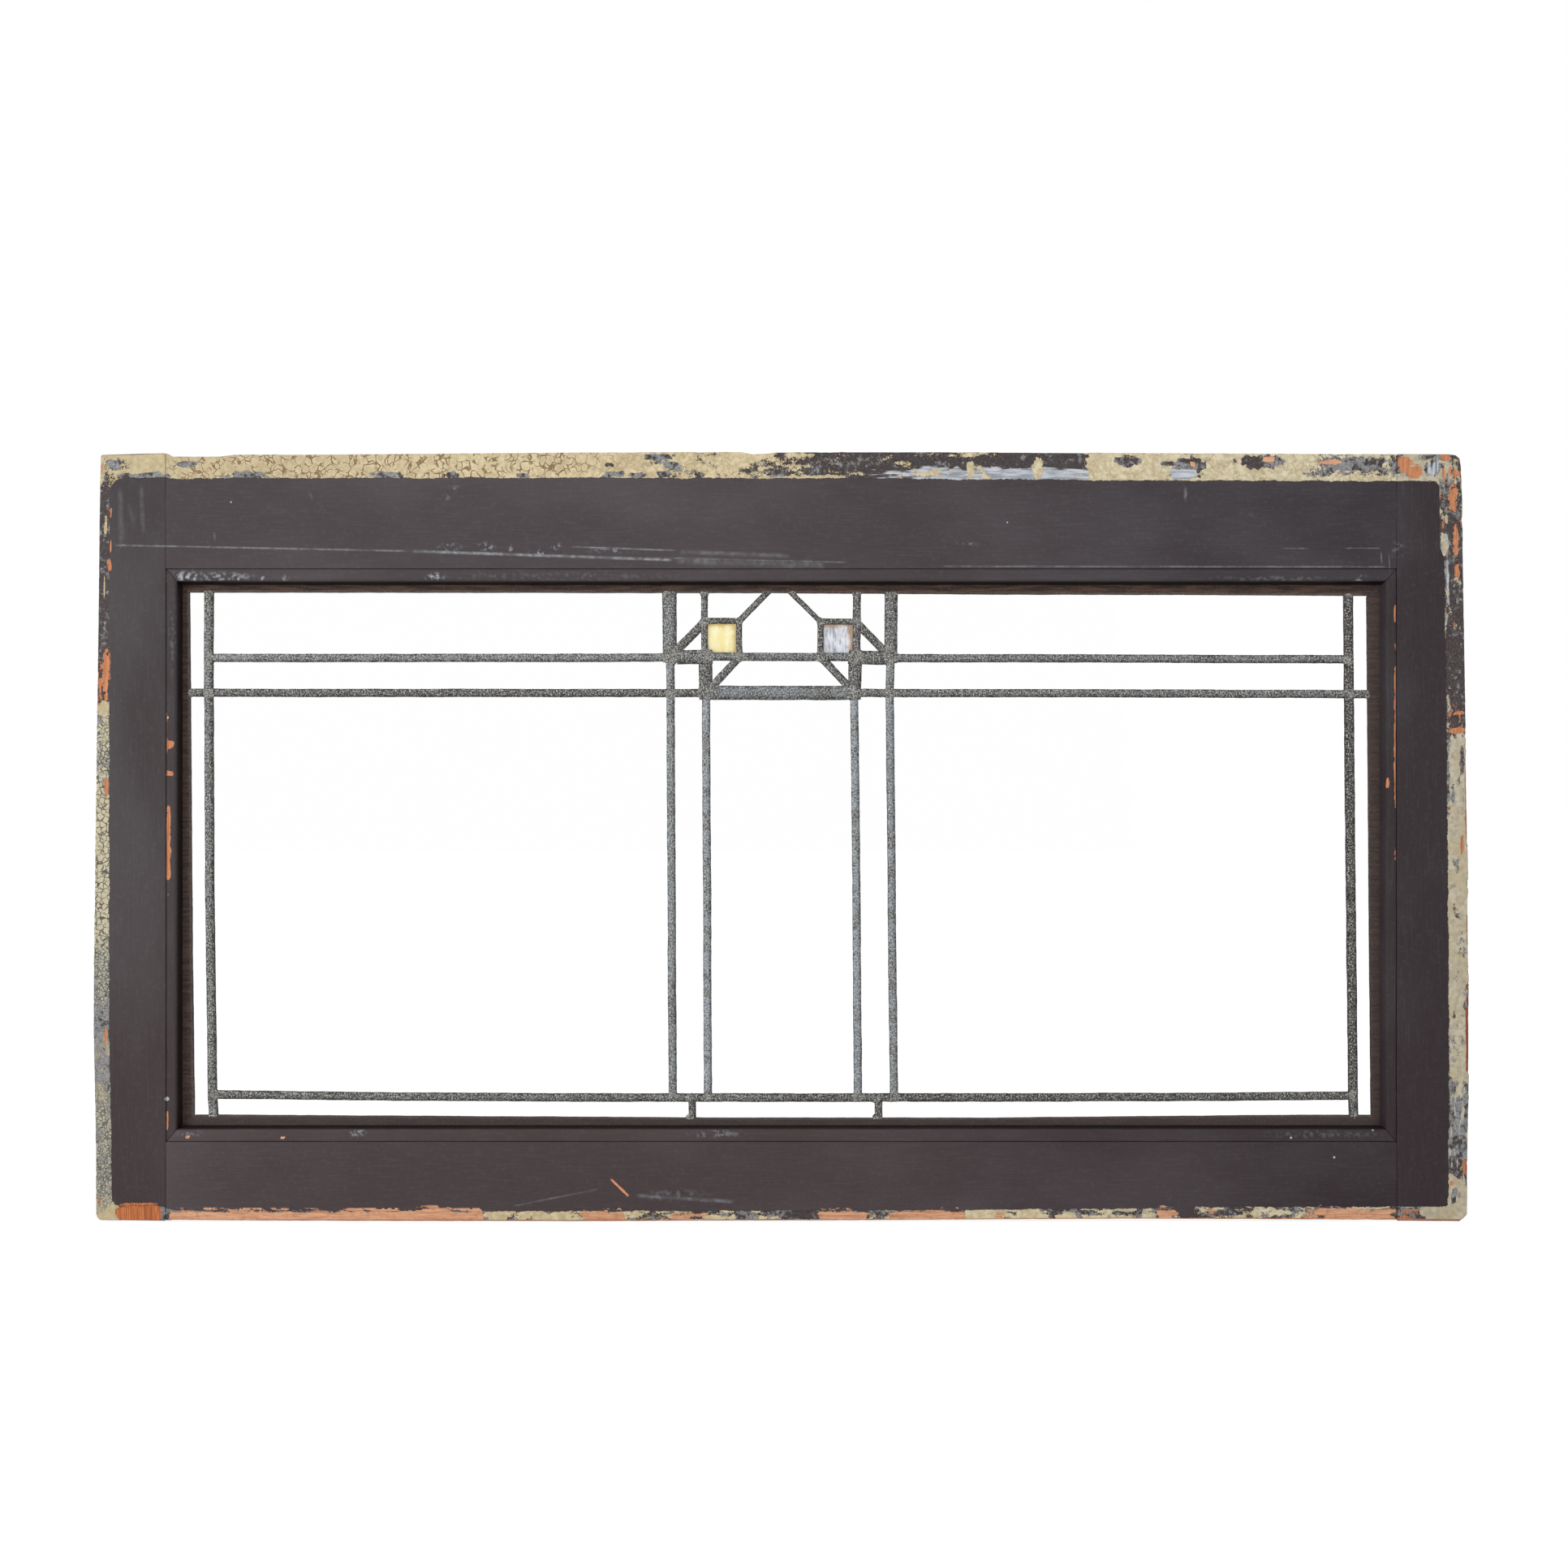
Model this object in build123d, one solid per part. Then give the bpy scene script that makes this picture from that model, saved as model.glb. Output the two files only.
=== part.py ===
from build123d import *
import math
import os

# An old wooden window sash that holds a panel of clear glass in metal cames.
# Sizes are in millimetres. X runs along the window, Y from its front face to its back and Z up.
# The origin is the middle of the bottom edge, halfway through the thickness.

# Wooden sash, whose side edges are planed so that it narrows a little towards the head
sash_width = 1224.0
sash_height = 685.0
sash_depth = 35.0
edge_taper = 5.0
stile_face = 64.9
top_rail_face = 104.0
bottom_rail_face = 71.4
rabbet_depth = 19.5
lip_reach = 13.0
lip_chamfer = 4.0
arris_radius = 1.2

# Mortise and tenon joints
tenon_thickness = 11.0
tenon_inset = 8.0
haunch = 18.0
tenon_play = 0.1

# Glazing stops, which slope and round over towards the glass
stile_stop_face = 8.6
rail_stop_face = 10.2
stop_slope = 2.7
stop_setback = 0.8
stop_gap = 0.3
stop_round = 2.4
mitre_gap = 0.6

# Panel and its place in the rabbet
side_clearance = 3.6
head_clearance = 3.4
block_height = 4.0
block_length = 45.0
block_inset = 130.0
panel_rack = 3.9

# Came sections
came_depth = 6.0
glass_thickness = 3.0
heart_thickness = 1.2
flange_edge = 0.7
border_width = 17.5
wide_came = 13.0
narrow_came = 7.4
square_came = 5.5
upper_diagonal_came = 6.0
middle_diagonal_came = 8.0
lower_diagonal_came = 7.5
glass_edge_gap = 0.8

# Lattice, measured from the middle line and from the edges of the border's sight opening
outer_upright_inset = 16.6
side_upright_x = 98.3
centre_upright_x = 67.0
square_x = 36.0
square_drop = 25.0
upper_bar_drop = 57.7
second_bar_drop = 89.2
bottom_bar_rise = 17.5

# Worked-out places
half_width = sash_width / 2
front_y = -sash_depth / 2
back_y = sash_depth / 2
rabbet_x = half_width - stile_face
rabbet_foot = bottom_rail_face
rabbet_head = sash_height - top_rail_face
seat_y = front_y + rabbet_depth
panel_y = seat_y - came_depth / 2
panel_front_y = seat_y - came_depth
frame_x = rabbet_x - side_clearance - border_width / 2
frame_foot = rabbet_foot + block_height + border_width / 2
frame_head = rabbet_head - head_clearance - border_width / 2
sight_x = frame_x - border_width / 2
sight_foot = frame_foot + border_width / 2
sight_head = frame_head - border_width / 2
outer_x = sight_x - outer_upright_inset
short_x = (side_upright_x + centre_upright_x) / 2
square_top = sight_head - square_drop
upper_bar = sight_head - upper_bar_drop
second_bar = sight_head - second_bar_drop
bottom_bar = sight_foot + bottom_bar_rise
middle_diagonal_top = upper_bar + side_upright_x - centre_upright_x
upper_diagonal_x = square_x - (frame_head - square_top)
panel_middle = (frame_head + frame_foot) / 2
panel_height = frame_head - frame_foot + border_width


def block(low, high):
    """A box between two opposite corners."""
    size = [b - a for a, b in zip(low, high)]
    middle = [(a + b) / 2 for a, b in zip(low, high)]
    return Pos(*middle) * Box(*size)


def sash_outline():
    """Everything inside the four outer edges of the sash."""
    outline = [
        (-half_width, 0),
        (half_width, 0),
        (half_width - edge_taper, sash_height),
        (-half_width + edge_taper, sash_height),
    ]
    return extrude(panel_plane(0) * polygon(outline), sash_depth, both=True)


def member_section(face_width):
    """A stile's or rail's section: outer edge at x = 0, front face at y = 0, lip at the back."""
    outline = Polyline(
        (0, 0),
        (face_width, 0),
        (face_width, rabbet_depth),
        (face_width + lip_reach, rabbet_depth),
        (face_width + lip_reach, sash_depth),
        (0, sash_depth),
        close=True,
    )
    section = make_face(outline)
    lip_corner = section.vertices().group_by(Axis.X)[-1].sort_by(Axis.Y)[-1]
    return chamfer(lip_corner, lip_chamfer)


def eased(member, outward):
    """A stile or rail with the two long arrises of its outer edge rounded."""
    edge = member.faces().sort_by(outward)[-1]
    arrises = edge.edges().filter_by(lambda line: line.length > sash_height / 2)
    return fillet(arrises, arris_radius)


def tenon_box(outer_z, rabbet_z, play):
    """The through tenon at the right-hand end of a rail, or its mortise when given some play."""
    towards_rabbet = math.copysign(1, rabbet_z - outer_z)
    edges = sorted(
        [
            outer_z + towards_rabbet * (haunch - play),
            rabbet_z - towards_rabbet * (tenon_inset - play),
        ]
    )
    low = (rabbet_x, seat_y - tenon_thickness - play, edges[0])
    high = (half_width, seat_y + play, edges[1])
    return block(low, high)


def rail(face_width, outer_z, rabbet_z):
    """A rail with a long front shoulder, a short back shoulder and a through tenon at each end."""
    side = math.copysign(1, outer_z - rabbet_z)
    plane = Plane(
        origin=(-side * rabbet_x, front_y, outer_z),
        x_dir=(0, 0, -side),
        z_dir=(side, 0, 0),
    )
    body = extrude(plane * member_section(face_width), 2 * rabbet_x)
    body = eased(body, Axis((0, 0, 0), (0, 0, side)))
    heights = sorted([outer_z, rabbet_z - side * lip_reach])
    stile_lip = block(
        (rabbet_x - lip_reach, seat_y, heights[0]), (rabbet_x, back_y, heights[1])
    )
    body -= [stile_lip, mirror(stile_lip, about=Plane.YZ)]
    tenon = tenon_box(outer_z, rabbet_z, 0) & sash_outline()
    return body + [tenon, mirror(tenon, about=Plane.YZ)]


def left_stile():
    """A stile that runs the full height, mortised for both rails."""
    plane = Plane(origin=(-half_width, front_y, 0), x_dir=(1, 0, 0), z_dir=(0, 0, 1))
    stile = extrude(plane * member_section(stile_face), sash_height) & sash_outline()
    stile = eased(stile, -Axis.X)
    mortises = [
        tenon_box(sash_height, rabbet_head, tenon_play),
        tenon_box(0, rabbet_foot, tenon_play),
    ]
    return stile - [mirror(mortise, about=Plane.YZ) for mortise in mortises]


def stop_section(face_width):
    """A stop's section: wall side at x = 0, visible face at y = 0, glass side sloping out."""
    depth = panel_front_y - front_y - stop_setback
    outline = Polyline(
        (0, 0),
        (face_width, 0),
        (face_width + stop_slope, depth),
        (0, depth),
        close=True,
    )
    section = make_face(outline)
    inner_corner = section.vertices().group_by(Axis.Y)[0].sort_by(Axis.X)[-1]
    return fillet(inner_corner, stop_round)


def mitred(bar, outer, inner, gap=0):
    """A bar along one side of a frame, cut to the two corners of that side."""
    outline = [outer[0], outer[1], inner[1], inner[0]]
    bar &= extrude(panel_plane(0) * polygon(outline), sash_depth, both=True)
    if gap:
        bar -= [strip(stretched(near, far), gap) for near, far in zip(outer, inner)]
    return bar


def stretched(start, end):
    """A line drawn out by its own length at both ends."""
    step = (end[0] - start[0], end[1] - start[1])
    return (start[0] - step[0], start[1] - step[1]), (end[0] + step[0], end[1] + step[1])


def stops():
    """The four strips that hold the panel in its rabbet, mitred at the corners."""
    face_y = front_y + stop_setback
    outer_x_line = rabbet_x - stop_gap
    head = rabbet_head - stop_gap
    foot = rabbet_foot + stop_gap
    stile_back = stile_stop_face + stop_slope
    rail_back = rail_stop_face + stop_slope
    outer = [(-outer_x_line, head), (outer_x_line, head), (outer_x_line, foot), (-outer_x_line, foot)]
    inner = [
        (-outer_x_line + stile_back, head - rail_back),
        (outer_x_line - stile_back, head - rail_back),
        (outer_x_line - stile_back, foot + rail_back),
        (-outer_x_line + stile_back, foot + rail_back),
    ]
    inward = {"top": (0, -1), "right": (-1, 0), "bottom": (0, 1), "left": (1, 0)}
    made = {}
    for side, (name, (dx, dz)) in enumerate(inward.items()):
        corners = (outer[side], outer[(side + 1) % 4])
        insides = (inner[side], inner[(side + 1) % 4])
        width = rail_stop_face if dx == 0 else stile_stop_face
        start, end = corners
        plane = Plane(
            origin=(start[0], face_y, start[1]),
            x_dir=(dx, 0, dz),
            z_dir=(end[0] - start[0], 0, end[1] - start[1]),
        )
        bar = extrude(plane * stop_section(width), math.dist(start, end))
        made[name + "_stop"] = mitred(bar, corners, insides, mitre_gap)
    return made


def panel_plane(y):
    """The plane of the panel, with the plane's own x and y along X and Z."""
    return Plane(origin=(0, y, 0), x_dir=(1, 0, 0), z_dir=(0, -1, 0))


def racked(x, z):
    """A point of the panel, carried sideways by the panel's slight lean."""
    return x - panel_rack * (z - panel_middle) / panel_height, z


def polygon(points):
    """A flat face with straight sides."""
    return make_face(Polyline(*points, close=True))


def flange(width, crown):
    """One flange of a came, above its glass channel, crowned or flat on the outside."""
    channel = glass_thickness / 2
    edge = channel + flange_edge
    top = came_depth / 2
    if crown:
        face = ThreePointArc((-width / 2, edge), (0, top), (width / 2, edge))
    else:
        face = Polyline((-width / 2, edge), (-width / 2, top), (width / 2, top), (width / 2, edge))
    sides = Polyline(
        (width / 2, edge), (width / 2, channel), (-width / 2, channel), (-width / 2, edge)
    )
    return make_face([face, sides])


def came_section(width, crown):
    """The H-shaped section of a came."""
    upper = flange(width, crown)
    heart = Rectangle(heart_thickness, glass_thickness)
    return upper + heart + mirror(upper, about=Plane.XZ)


def came(points, width, crown=True):
    """A came drawn along two or more points of the panel, with square ends and mitred bends."""
    path = Polyline(*[(x, panel_y, z) for x, z in points])
    (x1, z1), (x2, z2) = points[:2]
    plane = Plane(origin=path @ 0, x_dir=(z1 - z2, 0, x2 - x1), z_dir=(x2 - x1, 0, z2 - z1))
    return sweep(plane * came_section(width, crown), path=path, transition=Transition.RIGHT)


def strip(line, width):
    """All the room that a line of the given width takes, right through the sash."""
    (x1, z1), (x2, z2) = line
    length = math.dist(*line)
    nx = (z1 - z2) / length * width / 2
    nz = (x2 - x1) / length * width / 2
    corners = [(x1 + nx, z1 + nz), (x2 + nx, z2 + nz), (x2 - nx, z2 - nz), (x1 - nx, z1 - nz)]
    return extrude(panel_plane(0) * polygon(corners), sash_depth, both=True)


def stretches(path, width):
    """The straight stretches of a came's path, each lapped past its bends by half the width."""
    runs = []
    for n, ((x1, z1), (x2, z2)) in enumerate(zip(path, path[1:])):
        lap = width / 2 / math.dist((x1, z1), (x2, z2))
        before = lap if n > 0 else 0
        after = lap if n < len(path) - 2 else 0
        start = (x1 - (x2 - x1) * before, z1 - (z2 - z1) * before)
        end = (x2 + (x2 - x1) * after, z2 + (z2 - z1) * after)
        runs.append((start, end))
    return runs


def crosses(first, second, reach):
    """Whether the boxes round two lines come within reach of each other."""
    for axis in (0, 1):
        a = sorted(point[axis] for point in first)
        b = sorted(point[axis] for point in second)
        if a[1] + reach < b[0] or b[1] + reach < a[0]:
            return False
    return True


def border_cames():
    """The four flat cames round the panel, mitred at its corners."""
    lines = {}
    for reach, name in ((border_width / 2, "outer"), (-border_width / 2, "inner"), (0, "middle")):
        left, right = -frame_x - reach, frame_x + reach
        foot, head = frame_foot - reach, frame_head + reach
        corners = [(left, head), (right, head), (right, foot), (left, foot)]
        lines[name] = [racked(*corner) for corner in corners]
    made = {}
    for side, name in enumerate(("top", "right", "bottom", "left")):
        ends = (side, (side + 1) % 4)
        outer, inner, middle = ([lines[key][end] for end in ends] for key in ("outer", "inner", "middle"))
        bar = came(stretched(*middle), border_width, crown=False)
        made["border_came_" + name] = mitred(bar, outer, inner)
    return made


def both_sides(*lines):
    """Lines given on the right-hand half of the panel, each with its twin on the left."""
    made = []
    for line in lines:
        made.append([(-x, z) for x, z in line])
        made.append(list(line))
    return made


def upright(x, top, foot):
    """A vertical line of the lattice."""
    return (x, top), (x, foot)


def level(x1, x2, z):
    """A horizontal line of the lattice."""
    return (x1, z), (x2, z)


def lattice():
    """Every came inside the border: its node, its width and the lines it follows.

    Those that come later are cut to butt against those before them.
    """
    wide = wide_came / 2
    return [
        ("outer_uprights", narrow_came, both_sides(upright(outer_x, frame_head, frame_foot))),
        ("bottom_bar", narrow_came, [level(-outer_x, outer_x, bottom_bar)]),
        ("side_upright_heads", wide_came, both_sides(upright(side_upright_x, frame_head, upper_bar - wide))),
        (
            "upper_bar_wide_pieces",
            wide_came,
            both_sides(level(side_upright_x, centre_upright_x - wide, upper_bar)),
        ),
        (
            "centre_upright_middles",
            wide_came,
            both_sides(upright(centre_upright_x, upper_bar, second_bar - wide)),
        ),
        ("wide_centre_bar", wide_came, [level(-centre_upright_x, centre_upright_x, second_bar)]),
        (
            "centre_upright_heads",
            narrow_came,
            both_sides(upright(centre_upright_x, frame_head, upper_bar)),
        ),
        ("left_side_upright", narrow_came, [upright(-side_upright_x, upper_bar, bottom_bar)]),
        ("right_side_upright", narrow_came, [upright(side_upright_x, upper_bar, bottom_bar)]),
        ("left_centre_upright", narrow_came, [upright(-centre_upright_x, second_bar, bottom_bar)]),
        ("right_centre_upright", narrow_came, [upright(centre_upright_x, second_bar, bottom_bar)]),
        ("upper_bar_left", narrow_came, [level(-outer_x, -side_upright_x, upper_bar)]),
        ("upper_bar_right", narrow_came, [level(side_upright_x, outer_x, upper_bar)]),
        ("upper_bar_centre", narrow_came, [level(-centre_upright_x, centre_upright_x, upper_bar)]),
        ("second_bar_left", narrow_came, [level(-frame_x, -centre_upright_x, second_bar)]),
        ("second_bar_right", narrow_came, [level(centre_upright_x, frame_x, second_bar)]),
        ("short_uprights", narrow_came, both_sides(upright(short_x, bottom_bar, frame_foot))),
        (
            "square_cames",
            square_came,
            both_sides([(centre_upright_x, square_top), (square_x, square_top), (square_x, upper_bar)]),
        ),
        (
            "upper_diagonals",
            upper_diagonal_came,
            both_sides([(upper_diagonal_x, frame_head), (square_x, square_top)]),
        ),
        (
            "middle_diagonals",
            middle_diagonal_came,
            both_sides([(centre_upright_x, middle_diagonal_top), (side_upright_x, upper_bar)]),
        ),
        (
            "lower_diagonals",
            lower_diagonal_came,
            both_sides([(square_x, upper_bar), (centre_upright_x, second_bar)]),
        ),
    ]


def lattice_cames():
    """The cames of the lattice, each cut to butt against those that run past it."""
    corners = [(-frame_x, frame_head), (frame_x, frame_head), (frame_x, frame_foot), (-frame_x, frame_foot)]
    border = [racked(*corner) for corner in corners]
    placed = [((border[n], border[(n + 1) % 4]), border_width) for n in range(4)]
    made = {}
    for node, width, lines in lattice():
        solids = []
        for points in lines:
            path = [racked(*point) for point in points]
            runs = stretches(path, width)
            cutters = [
                strip(other, other_width)
                for other, other_width in placed
                if any(crosses(run, other, (width + other_width) / 2) for run in runs)
            ]
            solids += (came(path, width) - cutters).solids()
            placed += [(run, width) for run in runs]
        made[node] = Compound(children=solids)
    return made


def rectangle(x1, x2, z1, z2):
    """The corners of an upright rectangle."""
    return [(x1, z1), (x2, z1), (x2, z2), (x1, z2)]


def twin_panes(*outlines):
    """Outlines on the right-hand half of the panel, each with its mirrored twin."""
    made = []
    for outline in outlines:
        made.append(list(outline))
        made.append([(-x, z) for x, z in reversed(outline)])
    return made


def pane_outlines():
    """The middle lines of the cames round every pane, grouped by node."""
    side, centre, square = side_upright_x, centre_upright_x, square_x
    yellow = rectangle(-centre, -square, upper_bar, square_top)
    pale = rectangle(square, centre, upper_bar, square_top)
    top_side_column = [
        [(centre, frame_head), (centre, middle_diagonal_top), (side, upper_bar), (side, frame_head)],
        [(centre, middle_diagonal_top), (centre, upper_bar), (side, upper_bar)],
    ]
    over_square = [
        (upper_diagonal_x, frame_head),
        (square, square_top),
        (centre, square_top),
        (centre, frame_head),
    ]
    top_centre = [
        (-upper_diagonal_x, frame_head),
        (-square, square_top),
        (-square, upper_bar),
        (square, upper_bar),
        (square, square_top),
        (upper_diagonal_x, frame_head),
    ]
    second_triangle = [(square, upper_bar), (centre, second_bar), (centre, upper_bar)]
    second_centre = [
        (-square, upper_bar),
        (-centre, second_bar),
        (centre, second_bar),
        (square, upper_bar),
    ]
    return {
        "edge_panes": twin_panes(
            rectangle(outer_x, frame_x, second_bar, frame_head),
            rectangle(outer_x, frame_x, frame_foot, second_bar),
        ),
        "top_side_panes": twin_panes(rectangle(side, outer_x, upper_bar, frame_head)),
        "top_centre_panes": twin_panes(*top_side_column, over_square) + [top_centre],
        "yellow_square_glass": [yellow],
        "pale_square_glass": [pale],
        "second_row_panes": twin_panes(
            rectangle(side, outer_x, second_bar, upper_bar),
            rectangle(centre, side, second_bar, upper_bar),
            second_triangle,
        )
        + [second_centre],
        "left_main_pane": [rectangle(-outer_x, -side, bottom_bar, second_bar)],
        "right_main_pane": [rectangle(side, outer_x, bottom_bar, second_bar)],
        "centre_main_panes": twin_panes(rectangle(centre, side, bottom_bar, second_bar))
        + [rectangle(-centre, centre, bottom_bar, second_bar)],
        "bottom_row_panes": twin_panes(rectangle(short_x, outer_x, frame_foot, bottom_bar))
        + [rectangle(-short_x, short_x, frame_foot, bottom_bar)],
    }


def panes():
    """The glass, each pane cut to stand a little clear of the hearts of its cames."""
    inset = heart_thickness / 2 + glass_edge_gap
    made = {}
    for node, outlines in pane_outlines().items():
        solids = []
        for points in outlines:
            outline = polygon([racked(*point) for point in points])
            cut = offset(outline, -inset, kind=Kind.INTERSECTION)
            solids += extrude(panel_plane(panel_y) * cut, glass_thickness / 2, both=True).solids()
        made[node] = Compound(children=solids)
    return made


def setting_blocks():
    """Two slips of wood that carry the panel's foot in the bottom rabbet."""
    low = (rabbet_x - block_inset - block_length, panel_front_y, rabbet_foot)
    high = (rabbet_x - block_inset, seat_y, rabbet_foot + block_height)
    slip = block(low, high)
    return Compound(children=[slip, mirror(slip, about=Plane.YZ)])


def sash():
    """The two rails, the two stiles and the slips in the bottom rabbet."""
    stile = left_stile()
    return {
        "top_rail": rail(top_rail_face, sash_height, rabbet_head),
        "bottom_rail": rail(bottom_rail_face, 0, rabbet_foot),
        "left_stile": stile,
        "right_stile": mirror(stile, about=Plane.YZ),
        "setting_blocks": setting_blocks(),
    }


os.makedirs("parts", exist_ok=True)
for group in (sash(), stops(), border_cames(), lattice_cames(), panes()):
    for node, shape in group.items():
        export_step(shape, os.path.join("parts", node + ".step"))
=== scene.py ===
import functools
import itertools
import math

import bpy
import numpy as np
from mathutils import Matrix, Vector


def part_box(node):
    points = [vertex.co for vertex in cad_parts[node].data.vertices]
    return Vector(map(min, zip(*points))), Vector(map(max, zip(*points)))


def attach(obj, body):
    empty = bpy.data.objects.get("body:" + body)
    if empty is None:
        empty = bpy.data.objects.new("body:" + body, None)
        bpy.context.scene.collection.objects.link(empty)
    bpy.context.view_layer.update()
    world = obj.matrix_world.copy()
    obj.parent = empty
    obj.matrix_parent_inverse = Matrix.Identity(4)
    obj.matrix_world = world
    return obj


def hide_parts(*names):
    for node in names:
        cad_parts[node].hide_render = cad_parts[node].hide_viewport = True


# The looks of an old painted window sash that holds clear glass in metal cames.
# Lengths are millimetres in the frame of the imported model, and MM turns them into metres.

MM = 0.001
BODY = "root"

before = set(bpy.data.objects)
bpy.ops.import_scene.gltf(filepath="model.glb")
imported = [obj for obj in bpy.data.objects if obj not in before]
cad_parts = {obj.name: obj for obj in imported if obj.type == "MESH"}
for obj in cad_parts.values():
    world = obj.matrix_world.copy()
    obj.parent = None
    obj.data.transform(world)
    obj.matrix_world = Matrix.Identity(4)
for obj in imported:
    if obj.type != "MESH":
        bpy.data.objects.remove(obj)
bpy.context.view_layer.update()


def extent(node):
    """The lowest and the highest corner of a node, in millimetres."""
    low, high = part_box(node)
    return np.array(low) / MM, np.array(high) / MM


# Sash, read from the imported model
stile_low, stile_high = extent("left_stile")
HALF_WIDTH = -stile_low[0]
HEIGHT = stile_high[2]
FRONT, BACK = stile_low[1], stile_high[1]
LIP_REACH = 13.0
LIP_CHAMFER = 4.0
ARRIS = 1.2
RABBET_X = -stile_high[0] + LIP_REACH
RABBET_HEAD = extent("top_rail")[0][2] + LIP_REACH
RABBET_FOOT = extent("bottom_rail")[1][2] - LIP_REACH
STILE_FACE = HALF_WIDTH - RABBET_X

# Glazing stops
STOP_GAP = 0.3
STOP_SETBACK = 0.8
STILE_STOP = 8.6
RAIL_STOP = 10.2
STOP_SLOPE = 2.7
STOP_ROUND = 2.4
MITRE_GAP = 0.6

# Panel
PANEL_FRONT, SEAT = extent("border_came_top")[0][1], extent("border_came_top")[1][1]
PANEL_Y = (PANEL_FRONT + SEAT) / 2
CAME_DEPTH = SEAT - PANEL_FRONT
GLASS = 3.0
HEART = 1.2
FLANGE_EDGE = 0.7
BORDER = 17.5
WIDE = 13.0
NARROW = 7.4
SIDE_CLEARANCE = 3.6
HEAD_CLEARANCE = 3.4
BLOCK_HEIGHT = 4.0
FRAME_X = RABBET_X - SIDE_CLEARANCE - BORDER / 2
FRAME_HEAD = RABBET_HEAD - HEAD_CLEARANCE - BORDER / 2
FRAME_FOOT = RABBET_FOOT + BLOCK_HEIGHT + BORDER / 2
SIGHT_X = FRAME_X - BORDER / 2
SIGHT_HEAD = FRAME_HEAD - BORDER / 2
SIGHT_FOOT = FRAME_FOOT + BORDER / 2
RACK = 3.9
PANEL_MIDDLE = (FRAME_HEAD + FRAME_FOOT) / 2
PANEL_HEIGHT = FRAME_HEAD - FRAME_FOOT + BORDER

# Lattice lines
OUTER_X = SIGHT_X - 16.6
SIDE_X = 98.3
CENTRE_X = 67.0
SHORT_X = (SIDE_X + CENTRE_X) / 2
SQUARE_X = 36.0
SQUARE_TOP = SIGHT_HEAD - 25.0
UPPER_BAR = SIGHT_HEAD - 57.7
SECOND_BAR = SIGHT_HEAD - 89.2
BOTTOM_BAR = SIGHT_FOOT + 17.5
MIDDLE_DIAGONAL_TOP = UPPER_BAR + SIDE_X - CENTRE_X
UPPER_DIAGONAL_X = SQUARE_X - (FRAME_HEAD - SQUARE_TOP)


# Random patterns


def hashed(cells, seed):
    """A number from 0 to 1 for each whole-numbered cell, the same on every run."""
    mixed = cells.astype(np.int64) @ np.array([73856093, 19349663, 83492791]) + seed * 668265263
    mixed = ((mixed ^ (mixed >> 13)) * 1274126177) & 0xFFFFFFFFFF
    return ((mixed ^ (mixed >> 16)) & 0xFFFFF) / 0xFFFFF


def noise(points, size, seed, octaves=3):
    """Smooth random bumps about size mm across, from -1 to 1."""
    total = np.zeros(len(points))
    for octave in range(octaves):
        scaled = points / size * 2.0**octave + 17.3 * octave
        corner = np.floor(scaled)
        t = scaled - corner
        t = t * t * (3 - 2 * t)
        value = np.zeros(len(points))
        for offset in itertools.product((0, 1), repeat=3):
            share = np.prod(np.where(offset, t, 1 - t), axis=1)
            value += share * hashed(corner + offset, seed + octave)
        total += (2 * value - 1) * 0.5**octave
    return total / 1.4


def border_distance(points, size, seed):
    """How far each point is from the border between random cells of about that size."""
    scaled = points / size
    home = np.floor(scaled)
    nearest = np.full(len(points), 9.0)
    second = nearest.copy()
    for offset in itertools.product((-1, 0, 1), repeat=3):
        cell = home + offset
        centre = cell + np.stack([hashed(cell, seed + n) for n in range(3)], axis=1)
        distance = np.linalg.norm(scaled - centre, axis=1)
        second = np.minimum(second, np.maximum(nearest, distance))
        nearest = np.minimum(nearest, distance)
    return (second - nearest) * size / 2


def along(place, pairs):
    """The value at each place, between (place, value) pairs given in order."""
    places, values = zip(*pairs)
    return np.interp(place, places, values)


def smooth_step(value, low, high):
    """0 below low, 1 above high and smooth between them."""
    t = np.clip((value - low) / (high - low), 0, 1)
    return t * t * (3 - 2 * t)


# Meshes from rings of points


def loft(name, rings, attributes=None):
    """A closed mesh over rows x columns x 3 points in mm. Each row is a closed ring."""
    rows, columns = rings.shape[:2]
    points = rings.reshape(-1, 3) * MM
    index = np.arange(rows * columns).reshape(rows, columns)
    near, far = index[:-1], index[1:]
    quads = np.stack([near, np.roll(near, -1, 1), np.roll(far, -1, 1), far], axis=-1).reshape(-1, 4)
    a, b, c, d = (points[quads[:, n]] for n in range(4))
    volume = np.einsum("ij,ij->", a, np.cross(b, c) + np.cross(c, d))
    faces = quads.tolist() + [index[0, ::-1].tolist(), index[-1].tolist()]
    if volume < 0:
        faces = [face[::-1] for face in faces]
    mesh = bpy.data.meshes.new(name)
    mesh.from_pydata(points.tolist(), [], faces)
    for key, values in (attributes or {}).items():
        layer = mesh.attributes.new(key, "FLOAT", "POINT")
        layer.data.foreach_set("value", np.asarray(values, np.float32).ravel())
    mesh.shade_smooth()
    mesh.set_sharp_from_angle(angle=math.radians(42))
    return mesh


def placed(name, data):
    """A new object in the scene."""
    made = bpy.data.objects.new(name, data)
    bpy.context.scene.collection.objects.link(made)
    return made


def add_piece(name, mesh, material, nodes=()):
    """A mesh made into a piece that rides on the sash and stands for the nodes given."""
    mesh.materials.append(material)
    piece = placed(name, mesh)
    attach(piece, BODY)
    if nodes:
        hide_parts(*nodes)
    return piece


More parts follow.
